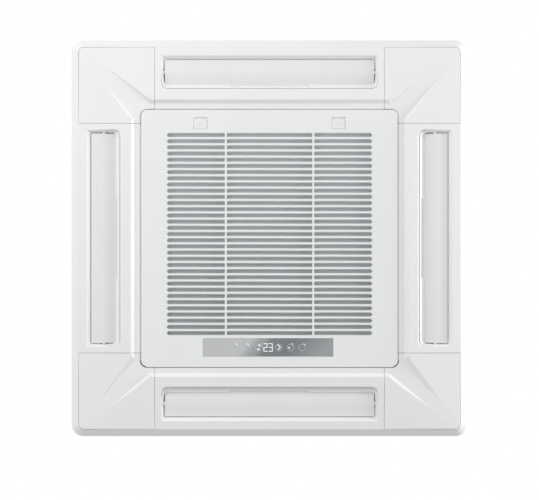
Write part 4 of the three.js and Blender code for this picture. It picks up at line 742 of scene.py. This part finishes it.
def screw(work, place, direction, radius=0.0042, height=0.0026):
    """A hexagon flange screw: a round flange with a six-sided head on it, and a dimple in the head."""
    turn = Vector(direction).to_track_quat("Z", "Y").to_matrix().to_4x4()
    seat = Matrix.Translation(place) @ turn
    chamfer = 0.92
    for sides, reach, low, high in ((16, 1.45, 0, 0.35), (6, 1.0, 0.3, 1.0)):
        middle = Matrix.Translation((0, 0, 0.5 * (low + high) * height))
        made = bmesh.ops.create_cone(
            work,
            cap_ends=True,
            segments=sides,
            radius1=reach * radius,
            radius2=chamfer * reach * radius,
            depth=(high - low) * height,
            matrix=seat @ middle,
        )["verts"]
        outward = turn.to_3x3() @ Vector((0, 0, 1))
        cap = [
            face
            for face in {face for vert in made for face in vert.link_faces}
            if len(face.verts) == sides and face.normal.dot(outward) > 0.9
        ]
        if sides == 6:
            bmesh.ops.inset_individual(work, faces=cap, thickness=0.3 * radius, depth=-0.25 * height)


top_low, top_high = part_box("cabinet_top")
lip_screw_drop, lip_screw_radius = 0.0105, 0.0034
lip_height = top_high.z - lip_screw_drop
corner_cut, corner_allowance = 0.14, 0.0008
wall = 0.5 * (top_high.x - top_low.x)
corner_wall = (wall - corner_cut + wall) / math.sqrt(2) + corner_allowance
side_places = (-0.23, -0.08, 0.08, 0.23)
corner_places = (-0.06, 0.06)
work = bmesh.new()
for quarter in range(4):
    for degrees, distance, places in ((0, wall, side_places), (45, corner_wall, corner_places)):
        turn = about_z(degrees + 90 * quarter)
        for across in places:
            place = turn @ Vector((distance, across, lip_height))
            screw(work, place, turn @ Vector((1, 0, 0)), radius=lip_screw_radius)
finished(work, "lid_screws", "unit", "zinc_sheet", screw_steel)

# ---- Hanging lugs ----
# Four brackets pressed from the same zinc sheet, one on each corner of the cabinet. Each has an open slot for
# a hanging rod, and two screws hold it.
for number in range(1, 5):
    dressed(f"suspension_lug_{number}", f"hanging_lug_{number}", "unit", "zinc_sheet", zinc_sheet, 0.5)
lug_sheet, screw_above, from_middle = 0.0012, 0.011, 0.011
work = bmesh.new()
for number in range(1, 5):
    lug_low, lug_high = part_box(f"suspension_lug_{number}")
    turn = about_z(90 * number - 45)
    centre = turn.inverted() @ (0.5 * (lug_low + lug_high))
    for across in (-from_middle, from_middle):
        place = Vector((corner_wall + lug_sheet, centre.y + across, lug_low.z + screw_above))
        screw(work, turn @ place, turn @ Vector((1, 0, 0)))
finished(work, "lug_screws", "unit", "zinc_sheet", screw_steel)

# ---- Foam liner and drain pan ----
# Expanded foam, moulded in blocks: a pale surface of pressed beads a few millimetres across. The liner lies
# against the cabinet's inside, and the pan lies under the coil.
bead_foam, tree, shader = new_finish("bead_foam")
shader.inputs["Roughness"].default_value = 0.9
place = tree.nodes.new("ShaderNodeTexCoord")
beads = tree.nodes.new("ShaderNodeTexVoronoi")
beads.inputs["Scale"].default_value = 260
tree.links.new(place.outputs["Object"], beads.inputs["Vector"])
# Each bead is pale in its middle and darker towards its edge: painted shade in the creases between beads.
bead_colour_and_crease_shade = between(tree, beads.outputs["Distance"], (0.84, 0.84, 0.83), (0.70, 0.70, 0.69))
tree.links.new(bead_colour_and_crease_shade, shader.inputs["Base Color"])
in_relief(tree, beads.outputs["Distance"], 0.4).invert = True
dressed("cabinet_liner", "foam_liner", "unit", "foam", bead_foam, 1.0)
dressed("drain_pan", "foam_pan", "unit", "foam", bead_foam, 1.2)

# ---- Coil ----
# A pack of thin aluminium fins bent round the fan. Zinc plates at its two ends carry the return bends, and a
# bent sheet closes the gap between them.
fin_pack, tree, shader = new_finish("fin_pack", metallic=0.8)
shader.inputs["Roughness"].default_value = 0.45
# The waves draw the fins, and their dark troughs are painted shade in the gaps between the fins.
fin_rows_and_gap_shade = crossed_waves(tree, scale=120, operation="MINIMUM")
tree.links.new(between(tree, fin_rows_and_gap_shade, (0.30, 0.31, 0.32), (0.62, 0.64, 0.66)), shader.inputs["Base Color"])
in_relief(tree, fin_rows_and_gap_shade, 0.6)
refinish("heat_exchanger", fin_pack)
for number in (1, 2):
    refinish(f"coil_end_plate_{number}", zinc_sheet)
refinish("partition_plate", zinc_sheet)

# ---- Refrigerant pipes ----
# Drawn copper pipes with turned brass flare nuts. They leave one corner of the cabinet through a plate that
# four screws hold.
copper = grained(
    "drawn_copper", (0.72, 0.36, 0.22), (0.80, 0.45, 0.29), (0.22, 0.38), grain=2, mottle=25, metallic=0.95
)
brass = grained(
    "turned_brass", (0.66, 0.50, 0.22), (0.74, 0.58, 0.28), (0.22, 0.34), grain=0.7, mottle=9, metallic=0.95
)
dressed("gas_pipe", "gas_line", "unit", "copper", copper, 0, smooth=65)
dressed("liquid_pipe", "liquid_line", "unit", "copper", copper, 0, smooth=65)
dressed("gas_flare_nut", "gas_nut", "unit", "brass", brass, 0.6)
dressed("liquid_flare_nut", "liquid_nut", "unit", "brass", brass, 0.5)
dressed("pipe_seal_plate", "pipe_plate", "unit", "zinc_sheet", zinc_sheet, 0.4)
plate_low, plate_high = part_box("pipe_seal_plate")
plate_sheet, plate_inset, plate_screw_radius = 0.0006, 0.005, 0.0028
plate_places = (0.006, 0.084)
diagonal = about_z(45)
work = bmesh.new()
for across in plate_places:
    for height in (plate_low.z + plate_inset, plate_high.z - plate_inset):
        place = Vector((corner_wall + plate_sheet, across, height))
        screw(work, diagonal @ place, diagonal @ Vector((1, 0, 0)), radius=plate_screw_radius)
finished(work, "pipe_plate_screws", "unit", "zinc_sheet", screw_steel)

# ---- Drain ----
# A moulded pump over the sump of the pan, with a float switch beside it, and a black outlet that leaves
# through the corner where the pipes do.
black_plastic = grained(
    "black_plastic", (0.022, 0.023, 0.025), (0.034, 0.035, 0.037), (0.42, 0.55), depth=0.03, mottle=30
)
dressed("drain_pump", "condensate_pump", "unit", "black_plastic", black_plastic, 0.6)
dressed("float_switch", "water_float", "unit", "white_panel", grille_plastic, 0.5)
dressed("drain_outlet", "drain_spout", "unit", "black_plastic", black_plastic, 0, smooth=65)

# ---- Bell mouth, fan and motor ----
# A moulded mouth leads the air into a seven-bladed turbo fan. Its motor hangs from the lid on a pressed
# bracket with rubber pads. Turned forms have their facets divided, so that they read as round.


def finer_rounds(work):
    """Divides the chords of circles about the fan's axis, and sets the new points on the circle."""
    level, same_circle, longest_share, at_axis = 1e-5, 3e-5, 0.6, 1e-4
    ring_layer = work.verts.layers.float.new("ring")
    for vert in work.verts:
        vert[ring_layer] = vert.co.xy.length
    chords = [
        edge
        for edge in work.edges
        if abs(edge.verts[0].co.z - edge.verts[1].co.z) < level
        and abs(edge.verts[0][ring_layer] - edge.verts[1][ring_layer]) < same_circle
        and edge.calc_length() < longest_share * edge.verts[0][ring_layer]
    ]
    old = set(work.verts)
    bmesh.ops.subdivide_edges(work, edges=chords, cuts=2, use_grid_fill=True)
    for vert in set(work.verts) - old:
        reach = vert.co.xy
        if reach.length > at_axis:
            vert.co.xy = reach * (vert[ring_layer] / reach.length)


def turned(node, name, body, slot, material, radius):
    """A CAD node with finer rounds about the fan's axis and rounded edges."""
    work = flats_and_corners(node)
    finer_rounds(work)
    round_edges(work, radius, sharp=32)
    return finished(work, name, body, slot, material, node)


fan_plastic = grained(
    "fan_plastic", (0.62, 0.63, 0.63), (0.67, 0.68, 0.68), (0.4, 0.5), grain=1.2, depth=0.03, mottle=60
)
motor_steel = grained(
    "motor_steel", (0.42, 0.43, 0.44), (0.50, 0.51, 0.52), (0.32, 0.42), grain=1, mottle=40, metallic=0.85
)
turned("bell_mouth", "inlet_bell", "unit", "white_panel", grille_plastic, 0.4)
turned("fan_wheel", "fan_rotor", "fan", "fan_plastic", fan_plastic, 0.4)
turned("fan_shroud", "fan_rim", "fan", "fan_plastic", fan_plastic, 0.4)
turned("fan_nut", "fan_hub_nut", "fan", "zinc_sheet", screw_steel, 0.4)
turned("motor_shaft", "fan_shaft", "fan", "motor_steel", screw_steel, 0.4)
turned("fan_motor", "motor_can", "unit", "motor_steel", motor_steel, 0.8)
dressed("motor_bracket", "motor_mount", "unit", "zinc_sheet", zinc_sheet, 0.3)

# ---- Control box ----
# A folded zinc box beside the bell mouth, closed from below by a lid with a raised field and four screws,
# over the circuit board and the terminal block.
dressed("control_box", "box_body", "unit", "zinc_sheet", zinc_sheet, 0.4)
dressed("control_box_cover", "box_lid", "unit", "zinc_sheet", zinc_sheet, 0.4)
refinish("control_board", board_green)
refinish("terminal_block", black_plastic)
lid_low, lid_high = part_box("control_box_cover")
inset_x, inset_y, rim_below = 0.008, 0.0075, 0.0013
box_screw_radius, box_screw_height = 0.0026, 0.0018
work = bmesh.new()
for x in (lid_low.x + inset_x, lid_high.x - inset_x):
    for y in (lid_low.y + inset_y, lid_high.y - inset_y):
        place = (x, y, lid_high.z - rim_below)
        screw(work, place, (0, 0, -1), radius=box_screw_radius, height=box_screw_height)
finished(work, "box_lid_screws", "unit", "zinc_sheet", screw_steel)

# ---- Louvre bushes and motors ----
# A slippery white bush carries one end of each louvre, and a small geared motor turns the other through a
# white nose.
nose_end = 0.2588
for number in range(1, 5):
    refinish(f"louvre_bush_{number}", louvre_plastic)
    name = f"louvre_drive_{number}"
    drive = dressed(f"louvre_motor_{number}", name, "unit", "motor_steel", motor_steel, 0.3)
    drive.data.materials.append(louvre_plastic)
    turn = about_z(-90 * (number - 1))
    for polygon in drive.data.polygons:
        if (turn @ polygon.center).y < nose_end:
            polygon.material_index = 1

# ---- Panel bolts and gasket ----
# Four zinc-plated bolts hold the panel to the cabinet, and a strip of soft black foam lies between the two.
# The strip keeps its CAD shape.
for number in range(1, 5):
    dressed(f"panel_bolt_{number}", f"panel_screw_{number}", "unit", "zinc_sheet", screw_steel, 0.4)
soft_foam = grained(
    "soft_foam", (0.025, 0.025, 0.027), (0.05, 0.05, 0.052), (0.85, 0.95), grain=1.6, depth=0.3, mottle=8
)
refinish("panel_gasket", soft_foam)
